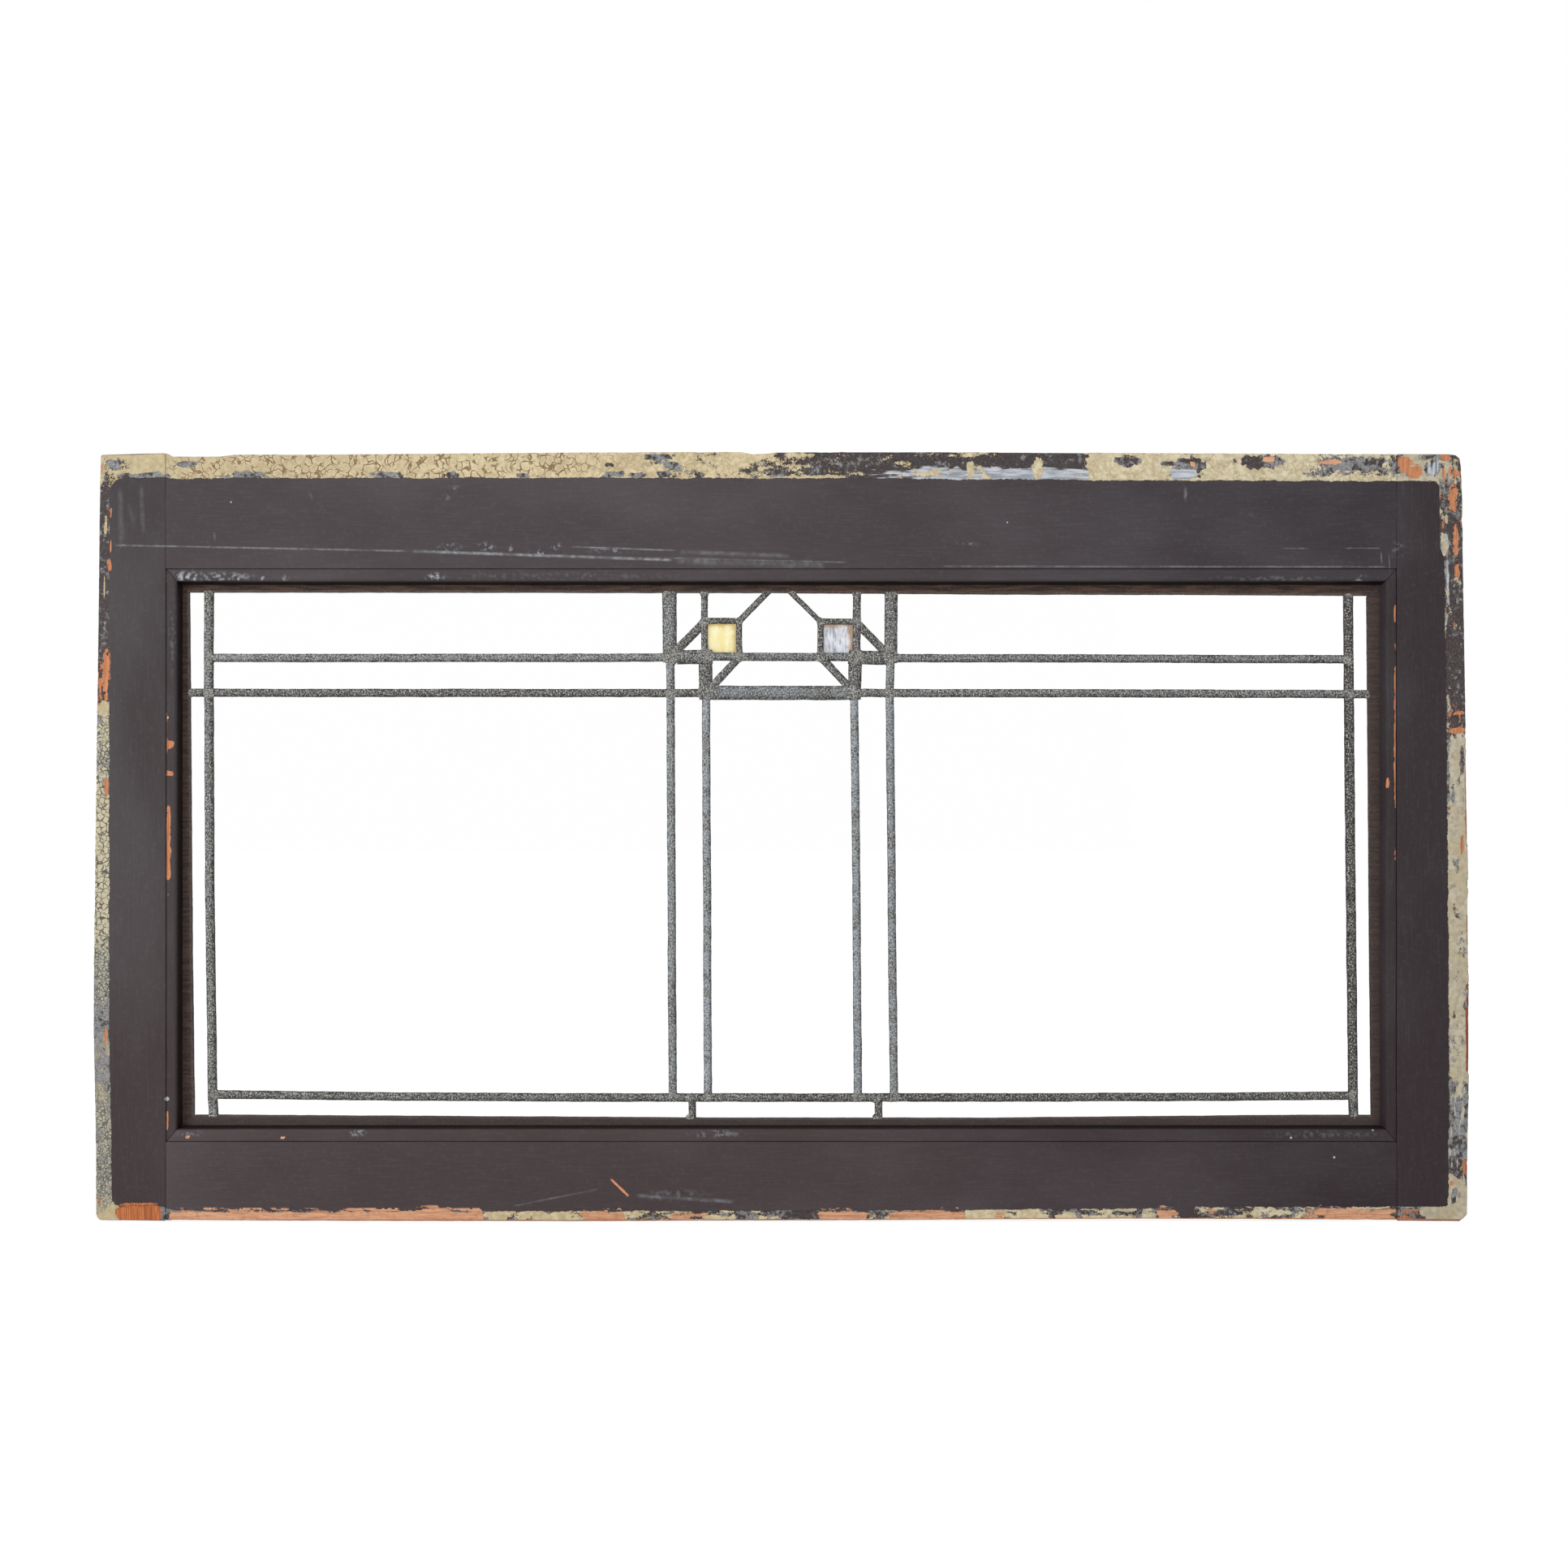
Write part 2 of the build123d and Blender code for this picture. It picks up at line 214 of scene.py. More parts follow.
def joined(name, meshes):
    """Several meshes as one, with no material."""
    objects = [placed(name, mesh) for mesh in meshes]
    with bpy.context.temp_override(
        active_object=objects[0], selected_objects=objects, selected_editable_objects=objects
    ):
        bpy.ops.object.join()
    mesh = objects[0].data
    bpy.data.objects.remove(objects[0])
    mesh.materials.clear()
    return mesh


def inward_directions(section):
    """The direction into the solid at each point of a closed section of (across, depth) points."""
    ahead = np.roll(section, -1, 0) - section
    behind = section - np.roll(section, 1, 0)
    ahead /= np.linalg.norm(ahead, axis=1, keepdims=True)
    behind /= np.linalg.norm(behind, axis=1, keepdims=True)
    tangent = ahead + behind
    tangent /= np.linalg.norm(tangent, axis=1, keepdims=True)
    x, y = section.T
    area = np.sum(x * np.roll(y, -1) - y * np.roll(x, -1))
    turned = np.stack([-tangent[:, 1], tangent[:, 0]], axis=1)
    return turned * np.sign(area)


def bar(start, end, inward, section, stations, trims=(0, 0)):
    """Rings along a straight bar, and the direction into the solid at each point.

    The section holds (across, depth) points, with across measured from the line in the direction
    inward. Stations run from 0 to 1, and trims shorten the ends of each column.
    """
    start, end, inward = (np.array(value, float) for value in (start, end, inward))
    length = np.linalg.norm(end - start)
    direction = (end - start) / length
    first, last = (np.broadcast_to(trim, len(section)) for trim in trims)
    reach = first + np.outer(stations, length - first - last)
    across, depth = section.T
    shape = reach.shape
    x = start[0] + direction[0] * reach + inward[0] * across
    z = start[1] + direction[1] * reach + inward[1] * across
    rings = np.stack([x, np.broadcast_to(depth, shape), z], axis=-1)
    sideways = inward_directions(section)
    into = np.stack([sideways[:, 0] * inward[0], sideways[:, 1], sideways[:, 0] * inward[1]], axis=1)
    return rings, np.broadcast_to(into, rings.shape)


def even(length, spacing):
    """Stations from 0 to 1 about that far apart."""
    return np.linspace(0, 1, max(2, round(length / spacing) + 1))


def run(low, high, spacing):
    """Places from low to high about that far apart, without the last."""
    return np.linspace(low, high, max(2, round(abs(high - low) / spacing) + 1))[:-1]


def arc(centre, radius, start, end, steps):
    """Points round an arc, with its angles in degrees."""
    angles = np.radians(np.linspace(start, end, steps + 1))
    return [(centre[0] + radius * math.cos(a), centre[1] + radius * math.sin(a)) for a in angles]


# Wear on the sash


# Outline: (along, place) pairs of the four edges, where the wood is worn or knocked off
LEFT_EDGE = (
    (0, -606), (2, -608), (6, -609.6), (60, -609.6), (110, -610.4), (165, -611.8), (235, -611.4),
    (310, -610.4), (450, -608.6), (600, -606.8), (668, -605.9), (683, -605.4), (685, -604.6),
)
RIGHT_EDGE = (
    (0, 604), (2, 606), (6, 610), (60, 610.6), (110, 611.6), (165, 611.9), (310, 611), (450, 608.9),
    (560, 607), (665, 605.4), (674, 604.8), (681, 603.5), (684, 600), (685, 594),
)
TOP_EDGE = (
    (-606, 682.3), (-570, 682.6), (-552, 683.9), (-546, 683.6), (-541, 680.9), (-500, 680.8), (-486, 682.5),
    (-400, 682.7), (-200, 684.3), (-90, 684.8), (-36, 684.8), (-25, 682.9), (-12, 683.6), (-4, 684.9),
    (140, 685), (200, 684.6), (320, 684), (450, 683.4), (606, 682.8),
)
BOTTOM_EDGE = (
    (-608, 1.6), (-460, 0.5), (-330, 0.2), (-180, 0), (-60, 0.5), (60, 0.8), (190, 1.5), (320, 2.2),
    (450, 1.6), (608, 0.8),
)

# How far in from each edge the last coat of dark paint begins
LEFT_BAND = ((0, 15.5), (300, 13.5), (600, 10.5), (650, 11), (663, 16), (685, 22))
RIGHT_BAND = ((0, 18), (100, 18), (570, 19.5), (588, 20), (600, 24), (640, 24.5), (685, 24))
TOP_BAND = ((-612, 22), (-300, 22.5), (0, 23.5), (300, 25), (612, 25.5))
BOTTOM_BAND = (
    (-612, 14), (-556, 14), (-540, 9.5), (-330, 9.5), (-318, 12.5), (-298, 12.5), (-290, 9.5), (0, 9.5),
    (350, 10.5), (355, 2), (364, 2), (368, 12), (612, 13),
)
BACK_BAND = 7.0

# How much of the cream coat is left along each edge, from 0 to 1
LEFT_CREAM = (
    (0, 0.75), (20, 0.6), (110, 0.54), (125, 0.44), (170, 0.44), (200, 0.54), (240, 0.6), (257, 0.66),
    (365, 0.66), (415, 0.56), (445, 0.52), (452, 0.7), (462, 0.6), (468, 0.1), (600, 0.12), (612, 0.3),
    (626, 0.15), (650, 0.3), (662, 0.5), (668, 0.56), (685, 0.62),
)
RIGHT_CREAM = (
    (0, 0.85), (33, 0.8), (45, 0.3), (100, 0.3), (118, 0.42), (136, 0.62), (165, 0.52), (185, 0.7),
    (330, 0.72), (400, 0.62), (430, 0.56), (443, 0.3), (455, 0.32), (512, 0.26), (528, 0.36), (545, 0.3),
    (590, 0.4), (614, 0.34), (660, 0.42), (685, 0.5),
)
TOP_CREAM = (
    (-606, 0.45), (-592, 0.55), (-580, 0.74), (-540, 0.78), (-520, 0.9), (-190, 0.92), (-125, 0.84),
    (-74, 0.6), (-41, 0.7), (-23, 0.6), (14, 0.58), (27, 0.5), (60, 0.46), (97, 0.4), (160, 0.34),
    (200, 0.26), (272, 0.28), (279, 0.78), (470, 0.78), (480, 0.6), (535, 0.64), (600, 0.56),
)
BOTTOM_CREAM = (
    (-612, 0.85), (-594, 0.8), (-592, 0.3), (-545, 0.15), (-540, 0.35), (-268, 0.35), (-264, 0.62),
    (-177, 0.6), (-140, 0.7), (-103, 0.58), (-44, 0.58), (-40, 0.3), (160, 0.35), (162, 0.78), (230, 0.7),
    (240, 0.58), (330, 0.54), (352, 0.2), (366, 0.2), (370, 0.5), (545, 0.5), (550, 0.4), (570, 0.4),
    (574, 0.85), (612, 0.85),
)

# How much of the wood is bare along each edge, from 0 to 1
LEFT_BARE = (
    (0, 0.1), (440, 0.15), (470, 0.4), (505, 0.45), (515, 0.25), (600, 0.3), (655, 0.3), (685, 0.36),
)
RIGHT_BARE = ((0, 0.1), (430, 0.2), (450, 0.38), (470, 0.2), (560, 0.25), (600, 0.36), (685, 0.4))
TOP_BARE = ((-606, 0.4), (-590, 0.2), (0, 0.1), (270, 0.1), (290, 0.25), (612, 0.3))
BOTTOM_BARE = (
    (-612, 0.1), (-594, 0.1), (-592, 0.85), (-556, 0.85), (-553, 0.1), (-545, 0.1), (-542, 0.9),
    (-268, 0.9), (-264, 0.2), (-178, 0.2), (-175, 0.85), (-142, 0.85), (-139, 0.3), (-104, 0.35),
    (-100, 0.5), (-68, 0.5), (-64, 0.2), (34, 0.15), (38, 0.8), (76, 0.75), (80, 0.35), (97, 0.4),
    (101, 0.8), (158, 0.8), (162, 0.15), (188, 0.2), (191, 0.5), (202, 0.5), (206, 0.15), (332, 0.2),
    (336, 0.85), (351, 0.85), (354, 0.1), (366, 0.1), (371, 0.35), (462, 0.35), (472, 0.68), (543, 0.68),
    (549, 0.4), (572, 0.45), (575, 0.1), (612, 0.1),
)

# Patches: left, right, low and high
BARE_PATCHES = (
    (-601, -598.5, 625, 635), (-600, -598, 596, 608), (-603, -599, 578, 590), (-606, -601, 466, 509),
    (-604, -600, 379, 394), (-602, -599, 160, 172), (-609, -607, 12, 22),
    (428, 439, 677, 682), (476, 502, 675, 680), (549, 560, 668, 682), (556, 569, 662, 674),
    (362, 369, 671, 678), (591, 594, 659, 673), (592, 602, 679, 686), (597, 606, 630, 657),
    (602, 607, 594, 619), (603, 608, 573, 584), (609, 613, 130, 205), (605, 609, 326, 345),
    (607, 612, 43, 55), (595, 599, 32, 37), (597, 610, 451, 454), (596, 610, 435, 440),
    (610.5, 613, 215, 300), (610, 613, 330, 430),
)
CREAM_PATCHES = (
    (-606, -604, 607, 625), (-601, -599.5, 609, 621), (-606, -605, 553, 574), (-603, -602, 527, 545),
    (589, 596, 592, 610), (591, 593, 516, 538), (474, 540, 657, 665), (592, 610, 1, 24),
    (578, 610, 1, 10), (-608, -595, 4, 22), (165, 171, 662, 676), (224, 232, 662, 680),
    (12, 60, 660, 664),
)
UNDERCOAT_PATCHES = (
    (-604, -589, 671, 680), (-593, -545, 661, 667), (-541, -521, 674, 680), (-494, -454, 662, 669),
    (-360, -337, 662, 668), (-300, -286, 662, 668), (-235, -223, 662, 666), (-158, -140, 662, 668),
    (-158, -148, 671, 676), (-135, -120, 662, 667), (-112, -96, 662, 668), (-125, -95, 678, 683),
    (-105, -92, 670, 676), (298, 320, 673, 682), (337, 349, 673, 677), (353, 376, 669, 681),
    (344, 373, 659, 671), (403, 445, 671, 683), (480, 541, 668, 682), (541, 551, 664, 683),
    (572, 590, 664, 680), (597, 602, 15, 30), (589, 595, 370, 433), (589, 591, 250, 330),
    (606, 609, 395, 425),
)

# Where the bared undercoat is pale: patches, and how pale it is along the top
PALE_PATCHES = ((575, 588, 666, 678), (-140, -122, 672, 680), (593, 597, 548, 612))
TOP_PALE = ((70, 0), (120, 0.7), (190, 1), (276, 1), (279, 0), (343, 0), (346, 1), (371, 1), (374, 0))

# How dark the bared undercoat is along each edge, from 0 to 1
LEFT_GLOOM = ((0, 0.35), (100, 0.15), (170, 0.2), (260, 0.3), (440, 0.4), (465, 0.9), (685, 0.9))
RIGHT_GLOOM = ((0, 0.5), (130, 0.4), (420, 0.5), (440, 0.95), (540, 0.9), (640, 0.75), (685, 0.6))
TOP_GLOOM = ((-606, 0.35), (-200, 0.4), (0, 0.7), (60, 0.95), (275, 0.95), (310, 0.6), (612, 0.55))
BOTTOM_GLOOM = ((-612, 0.6), (612, 0.6))

# How strongly the cream is crackled up the left side, and how far it is wrinkled along the top
LEFT_CRACKLE = ((0, 0.2), (25, 0.9), (100, 0.9), (115, 0.5), (165, 0.5), (180, 1), (445, 1), (458, 0))
TOP_ARCS = ((-585, 0), (-520, 1), (-190, 1), (-140, 0.4), (80, 0.25), (612, 0.45))

# How far in from the outer edge the mesh is fine enough for the worn paint
STILE_WORN_WIDTH = 24
RAIL_WORN_WIDTH = 27


def sash_depths(points):
    """How far each point is inside the left, right, bottom and top edge of the plain outline."""
    x, _, z = points.T
    return np.stack([x + HALF_WIDTH, HALF_WIDTH - x, z, HEIGHT - z])


def weathered_outline(points):
    """The points moved so that the four edges follow their worn lines."""
    x, _, z = points.T
    left, right, foot, head = np.clip(1 - sash_depths(points) / 40, 0, 1)
    chips = 0.35 * np.abs(noise(points, 9, 11)) ** 2 + 0.25 * np.abs(noise(points, 45, 12))
    moved = points.copy()
    moved[:, 0] += left * (along(z, LEFT_EDGE) + HALF_WIDTH + chips)
    moved[:, 0] += right * (along(z, RIGHT_EDGE) - HALF_WIDTH - chips)
    moved[:, 2] += foot * (along(x, BOTTOM_EDGE) + chips)
    moved[:, 2] += head * (along(x, TOP_EDGE) - HEIGHT - chips)
    return moved


def patches(points, boxes, seed):
    """1 inside any of the boxes, 0 outside and ragged between, on the front of the sash."""
    x, y, z = points.T
    ragged = 0.55 * noise(points, 7, seed) + 0.35 * noise(points, 2.5, seed + 1)
    field = np.zeros(len(points))
    for left, right, low, high in boxes:
        aside = np.abs(2 * x - left - right) / (right - left)
        above = np.abs(2 * z - low - high) / (high - low)
        reach = (aside**3 + above**3) ** (1 / 3)
        field = np.maximum(field, np.clip(1.5 - reach - ragged, 0, 1))
    return field * (y < FRONT + 5)


def edge_value(nearest, x, z, left, right, foot, head):
    """The value of a given table along the nearest edge."""
    values = np.stack([along(z, left), along(z, right), along(x, foot), along(x, head)])
    return values[nearest, np.arange(len(x))]


def weather(points):
    """The state of the paint at each point of the sash, as the attributes that the material reads."""
    x, y, z = points.T
    depths = sash_depths(points)
    front = y < 0
    sides, levels = (LEFT_BAND, RIGHT_BAND), (BOTTOM_BAND, TOP_BAND)
    bands = np.stack([along(z, band) for band in sides] + [along(x, band) for band in levels])
    bands = np.where(front, bands, BACK_BAND)
    softness = 3.0
    inside = np.clip(depths - bands, -40, 60)
    face = -softness * np.log(np.sum(np.exp(-inside / softness), axis=0))
    face += 0.8 * noise(points, 14, 21) + 0.6 * noise(points, 3, 22)

    aside = 5 * noise(points, 11, 23)
    nearest = np.argmin(depths + np.stack([aside, -aside, -aside, aside]), axis=0)
    by_left, by_head = nearest == 0, nearest == 3
    level = nearest >= 2
    x_near, z_near = x + 7 * noise(points, 9, 24), z + 7 * noise(points, 9, 25)
    cream = edge_value(nearest, x_near, z_near, LEFT_CREAM, RIGHT_CREAM, BOTTOM_CREAM, TOP_CREAM)
    bare = edge_value(nearest, x_near, z_near, LEFT_BARE, RIGHT_BARE, BOTTOM_BARE, TOP_BARE)
    gloom = edge_value(nearest, x_near, z_near, LEFT_GLOOM, RIGHT_GLOOM, BOTTOM_GLOOM, TOP_GLOOM)
    drawn = points * np.where(level[:, None], (0.4, 1, 1), (1, 1, 0.4))
    coarse = np.array([0.1, 0.18, 0.16, 0.26])[nearest]
    fine = np.array([0.2, 0.42, 0.5, 0.3])[nearest]
    cream += coarse * noise(drawn, 9, 31) + fine * noise(drawn, 3.2, 32)
    bare += 0.14 * noise(drawn, 10, 41) + 0.26 * noise(drawn, 3, 42)
    bare = np.where(front, bare, bare - 0.25)
    rim = smooth_step(face, -2.4, -0.8) * front
    bare -= 0.4 * rim * level
    cream = np.maximum(cream, patches(points, CREAM_PATCHES, 33))
    hidden = patches(points, UNDERCOAT_PATCHES, 34)
    cream = np.where(cream < 0.95, np.minimum(cream, 1 - hidden), cream - hidden * (cream < 1.4))
    bare = np.maximum(bare, patches(points, BARE_PATCHES, 43))
    foot_line = smooth_step(x, -285, -275) * smooth_step(2.4 - z, 0, 0.8) * (x > -RABBET_X)
    bare = np.maximum(bare, 0.7 * foot_line * front)
    bare = np.where(face > 3, 0, bare)

    curl = np.stack([noise(points, 7, 51 + n) for n in range(3)], axis=1)
    crack = border_distance(points + 3 * curl, 5.6, 54)
    pale = along(x_near, TOP_PALE) * smooth_step(674.5 + 2.5 * noise(points, 6, 36) - z, 0, 7)
    joint = np.abs(np.abs(x) - RABBET_X)
    line = smooth_step(0.8 - joint, 0, 0.8) * (0.5 + 0.5 * noise(points * (0, 0, 1), 40, 61))
    outside_rabbet = (z > RABBET_HEAD) | (z < RABBET_FOOT)
    return {
        "face": np.clip(face, -20, 20),
        "cream": np.clip(cream, 0, 1),
        "bare": np.clip(bare, 0, 1),
        "gloom": np.clip(gloom, 0, 1),
        "pale": np.maximum(pale * by_head, 0.8 * patches(points, PALE_PATCHES, 35)),
        "crack": crack + 4 * ~by_left,
        "crackle": along(z, LEFT_CRACKLE) * by_left,
        "arcs": along(x, TOP_ARCS) * by_head * front,
        "line": np.clip(line, 0, 1) * outside_rabbet,
        "stain_and_shade": np.zeros(len(points)),
    }


def relief(points, state):
    """How far the surface lies under the highest point of the paint, in mm."""
    worn = 1 - smooth_step(state["face"], -0.6, 0.6)
    cream = smooth_step(state["cream"], 0.42, 0.58)
    bare = smooth_step(state["bare"], 0.4, 0.6)
    crack = 1 - smooth_step(state["crack"], 0.1, 1.2)
    grain = 0.12 * np.abs(noise(points * (0.15, 1, 1), 3, 71))
    coats = 0.42 * (1 - cream) + cream * (0.25 * crack + 0.12 * (1 + noise(points, 6, 72)))
    depth = worn * (coats * (1 - bare) + bare * (0.75 + grain))
    depth += (1 - worn) * 0.05 * (1 + noise(points, 30, 73))
    return depth + 0.2 * state["line"]


# The sash


def sash_section(face, worn_width):
    """A stile's or rail's section: (across from the outer edge, depth) points round the ring."""
    face_columns = [*run(ARRIS, worn_width, 1.25), *run(worn_width, face - 1.5, 6)]
    face_columns += [face - 1.5, face - 0.8]
    points = [(u, FRONT) for u in face_columns]
    points += [(face - 0.1, FRONT + 0.08), (face, FRONT + 0.4)]
    points += [(face, y) for y in run(FRONT + 4, SEAT, 5)]
    points += [(face, SEAT), (face + LIP_REACH / 2, SEAT), (face + LIP_REACH, SEAT)]
    points += [(face + LIP_REACH, (SEAT + BACK) / 2), (face + LIP_REACH, BACK - LIP_CHAMFER)]
    points += [(u, BACK) for u in run(face + LIP_REACH - LIP_CHAMFER, 10, 6)]
    points += [(u, BACK) for u in run(10, ARRIS, 1.6)]
    points += arc((ARRIS, BACK - ARRIS), ARRIS, 90, 180, 3)
    points += [(0, y) for y in run(BACK - ARRIS, FRONT + ARRIS, 2)][1:]
    points += arc((ARRIS, FRONT + ARRIS), ARRIS, 180, 270, 3)[:-1]
    return np.array(points)


def rounded_ends(rings, into, radius, direction):
    """Rings with the arris at both ends rounded. The first and last ring lie in the end faces."""
    steps = ((0.0, 1.0), (0.12, 0.5), (0.45, 0.15))

    def end_rings(end, sign):
        return [
            rings[end] + into[end] * radius * share + sign * direction * radius * reach
            for reach, share in steps
        ]

    first, last = end_rings(0, 1), end_rings(-1, -1)[::-1]
    count = len(steps)
    made_into = [into[:1]] * count + [into[1:-1]] + [into[-1:]] * count
    return np.concatenate([first, rings[1:-1], last]), np.concatenate(made_into)


# The paint over the end faces of the stiles, which the photograph doesn't show
END_FACE = {
    "face": -3, "cream": 0.9, "bare": 0, "gloom": 0.3, "pale": 0, "crack": 4, "crackle": 0, "arcs": 0,
    "line": 0,
}
SHOULDER_SINK = 0.15  # how far the rails lie under the stiles at their joints


def wooden_member(name, start, end, inward, section, trims, material):
    """A stile or rail with its worn paint in relief."""
    is_stile = inward[1] == 0
    rings, into = bar(start, end, inward, section, even(math.dist(start, end), 1.25), trims)
    if is_stile:
        rings, into = rounded_ends(rings, into, ARRIS, np.array([0, 0, 1.0]))
    shape = rings.shape
    points = rings.reshape(-1, 3)
    state = weather(points)
    if is_stile:
        for key, value in END_FACE.items():
            state[key].reshape(shape[:2])[[0, -1]] = value
    depth = relief(points, state)
    if not is_stile:
        depth += SHOULDER_SINK * smooth_step(np.abs(points[:, 0]), RABBET_X - 1.0, RABBET_X)
    points = weathered_outline(points) + into.reshape(-1, 3) * depth[:, None]
    mesh = loft(name, points.reshape(shape), state)
    add_piece(name + "_wood", mesh, material, [name])


def build_sash(rail_material, stile_material):
    """The two stiles and the two rails."""
    section = sash_section(STILE_FACE, STILE_WORN_WIDTH)
    for name, side in (("left_stile", -1), ("right_stile", 1)):
        x = side * HALF_WIDTH
        wooden_member(name, (x, 0), (x, HEIGHT), (-side, 0), section, (0, 0), stile_material)
    for name, outer, inner in (("top_rail", HEIGHT, RABBET_HEAD), ("bottom_rail", 0, RABBET_FOOT)):
        section = sash_section(abs(outer - inner), RAIL_WORN_WIDTH)
        short_back = LIP_REACH * (section[:, 1] >= SEAT - 0.01)
        inward = (0, math.copysign(1, inner - outer))
        ends = ((-RABBET_X, outer), (RABBET_X, outer))
        wooden_member(name, *ends, inward, section, (short_back, short_back), rail_material)


# Materials


class Shader:
    """Short calls that add nodes to the tree of a new material or world, and link them."""

    def __init__(self, owner, output="ShaderNodeOutputMaterial"):
        owner.use_nodes = True
        self.owner = owner
        self.tree = owner.node_tree
        self.tree.nodes.clear()
        self.output = self.tree.nodes.new(output)
        self.position = self.tree.nodes.new("ShaderNodeTexCoord").outputs["Object"]

    def set(self, socket, value):
        """Give a socket a link or a plain value."""
        if isinstance(value, bpy.types.NodeSocket):
            self.tree.links.new(value, socket)
        else:
            socket.default_value = value

    def node(self, kind, inputs, **settings):
        made = self.tree.nodes.new(kind)
        for key, value in settings.items():
            setattr(made, key, value)
        for key, value in inputs.items():
            self.set(made.inputs[key], value)
        return made

    def attribute(self, name):
        return self.node("ShaderNodeAttribute", {}, attribute_name=name).outputs["Fac"]

    def axes(self, vector=None):
        """A vector's parts, or the place along each axis in metres."""
        return self.node("ShaderNodeSeparateXYZ", {"Vector": vector or self.position}).outputs

    def flat(self):
        """The place seen from the front, in mm."""
        return self.vector("MULTIPLY", self.position, (1 / MM, 0, 1 / MM))

    def math(self, operation, *values):
        return self.node("ShaderNodeMath", dict(enumerate(values)), operation=operation).outputs[0]

    def times(self, first, second):
        return self.math("MULTIPLY", first, second)

    def larger(self, first, second):
        return self.math("MAXIMUM", first, second)

    def plus(self, value, pattern, amount):
        """The value and so much of a pattern."""
        return self.math("MULTIPLY_ADD", pattern, amount, value)

    def swayed(self, value, pattern, amount):
        """The value moved up and down by a pattern whose middle is 0.5."""
        return self.plus(value, self.math("SUBTRACT", pattern, 0.5), amount)

    def between(self, share, first, second):
        """A mix of two numbers."""
        return self.node("ShaderNodeMix", {0: share, 2: first, 3: second}, data_type="FLOAT").outputs[0]

    def vector(self, operation, *values, **more):
        inputs = dict(enumerate(values)) | more
        output = "Value" if operation in ("DOT_PRODUCT", "LENGTH") else "Vector"
        return self.node("ShaderNodeVectorMath", inputs, operation=operation).outputs[output]

    def noise(self, size, detail=3.0, stretch=(1, 1, 1), warp=0.0):
        """Noise about size mm across, drawn out along any axis whose stretch is over 1."""
        place = self.vector("MULTIPLY", self.position, [1 / (size * MM * s) for s in stretch])
        inputs = {"Vector": place, "Scale": 1.0, "Detail": detail, "Roughness": 0.55, "Distortion": warp}
        return self.node("ShaderNodeTexNoise", inputs).outputs["Fac"]

    def cracks(self, size, curl):
        """The distance in mm to a network of curved cracks between cells of about that size."""
        scaled = self.vector("SCALE", self.position, Scale=1 / (size * MM))
        inputs = {"Vector": scaled, "Scale": 0.9, "Detail": 1.5}
        swirl = self.node("ShaderNodeTexNoise", inputs).outputs["Color"]
        bent = self.vector("MULTIPLY_ADD", swirl, (curl, curl, curl), scaled)
        made = self.node("ShaderNodeTexVoronoi", {"Vector": bent, "Scale": 1.0}, feature="DISTANCE_TO_EDGE")
        return self.times(made.outputs["Distance"], size)

    def step(self, value, low, high, bottom=0.0, top=1.0):
        """Value mapped smoothly from low-high to bottom-top."""
        inputs = {"Value": value, "From Min": low, "From Max": high, "To Min": bottom, "To Max": top}
        return self.node("ShaderNodeMapRange", inputs, interpolation_type="SMOOTHSTEP").outputs[0]

    def mix(self, share, first, second, blend="MIX"):
        """A mix of two colours, given as sockets or as sRGB numbers from 0 to 255."""
        settings = {"data_type": "RGBA", "blend_type": blend, "clamp_factor": True}
        made = self.node("ShaderNodeMix", {"Factor": share}, **settings)
        for key, value in ((6, first), (7, second)):
            is_socket = isinstance(value, bpy.types.NodeSocket)
            self.set(made.inputs[key], value if is_socket else colour(*value))
        return made.outputs[2]

    def tones(self, pattern, low, high, dark, pale):
        """Two tones, from dark where a pattern is low to pale where it is high."""
        return self.mix(self.step(pattern, low, high), dark, pale)

    def flecks(self, base, pattern, low, high, share, tone):
        """The base with some share of a tone over it where a pattern is high."""
        return self.mix(self.step(pattern, low, high, 0, share), base, tone)

    def bump(self, height, distance, strength=1.0, normal=None):
        """A normal bent by a height from 0 to 1 that stands for distance mm."""
        inputs = {"Height": height, "Distance": distance * MM, "Strength": strength}
        if normal is not None:
            inputs["Normal"] = normal
        return self.node("ShaderNodeBump", inputs).outputs["Normal"]

    def surface(self, base, roughness, normal, gloss=0.5, metal=0.0):
        inputs = {
            "Base Color": base, "Roughness": roughness, "Normal": normal, "Specular IOR Level": gloss,
            "Metallic": metal,
        }
        return self.node("ShaderNodeBsdfPrincipled", inputs).outputs["BSDF"]

    def blend(self, share, first, second):
        """A mix of two surfaces or lights."""
        return self.node("ShaderNodeMixShader", {0: share, 1: first, 2: second}).outputs[0]

    def seen(self):
        """1 for what the camera sees, straight, in gloss or through glass, and 0 for what lights it."""
        path = self.node("ShaderNodeLightPath", {}).outputs
        straight = self.larger(path["Is Camera Ray"], path["Is Glossy Ray"])
        return self.larger(straight, path["Is Transmission Ray"])

    def show(self, result):
        self.tree.links.new(result, self.output.inputs["Surface"])
        return self.owner


def new_material(name):
    """The shader of a new material."""
    return Shader(bpy.data.materials.new(name))


def colour(*parts):
    """An sRGB colour from 0 to 255 as the linear numbers that a node takes."""
    linear = [(v / 255 / 12.92) if v <= 10 else ((v / 255 + 0.055) / 1.055) ** 2.4 for v in parts]
    return (*linear, 1.0)


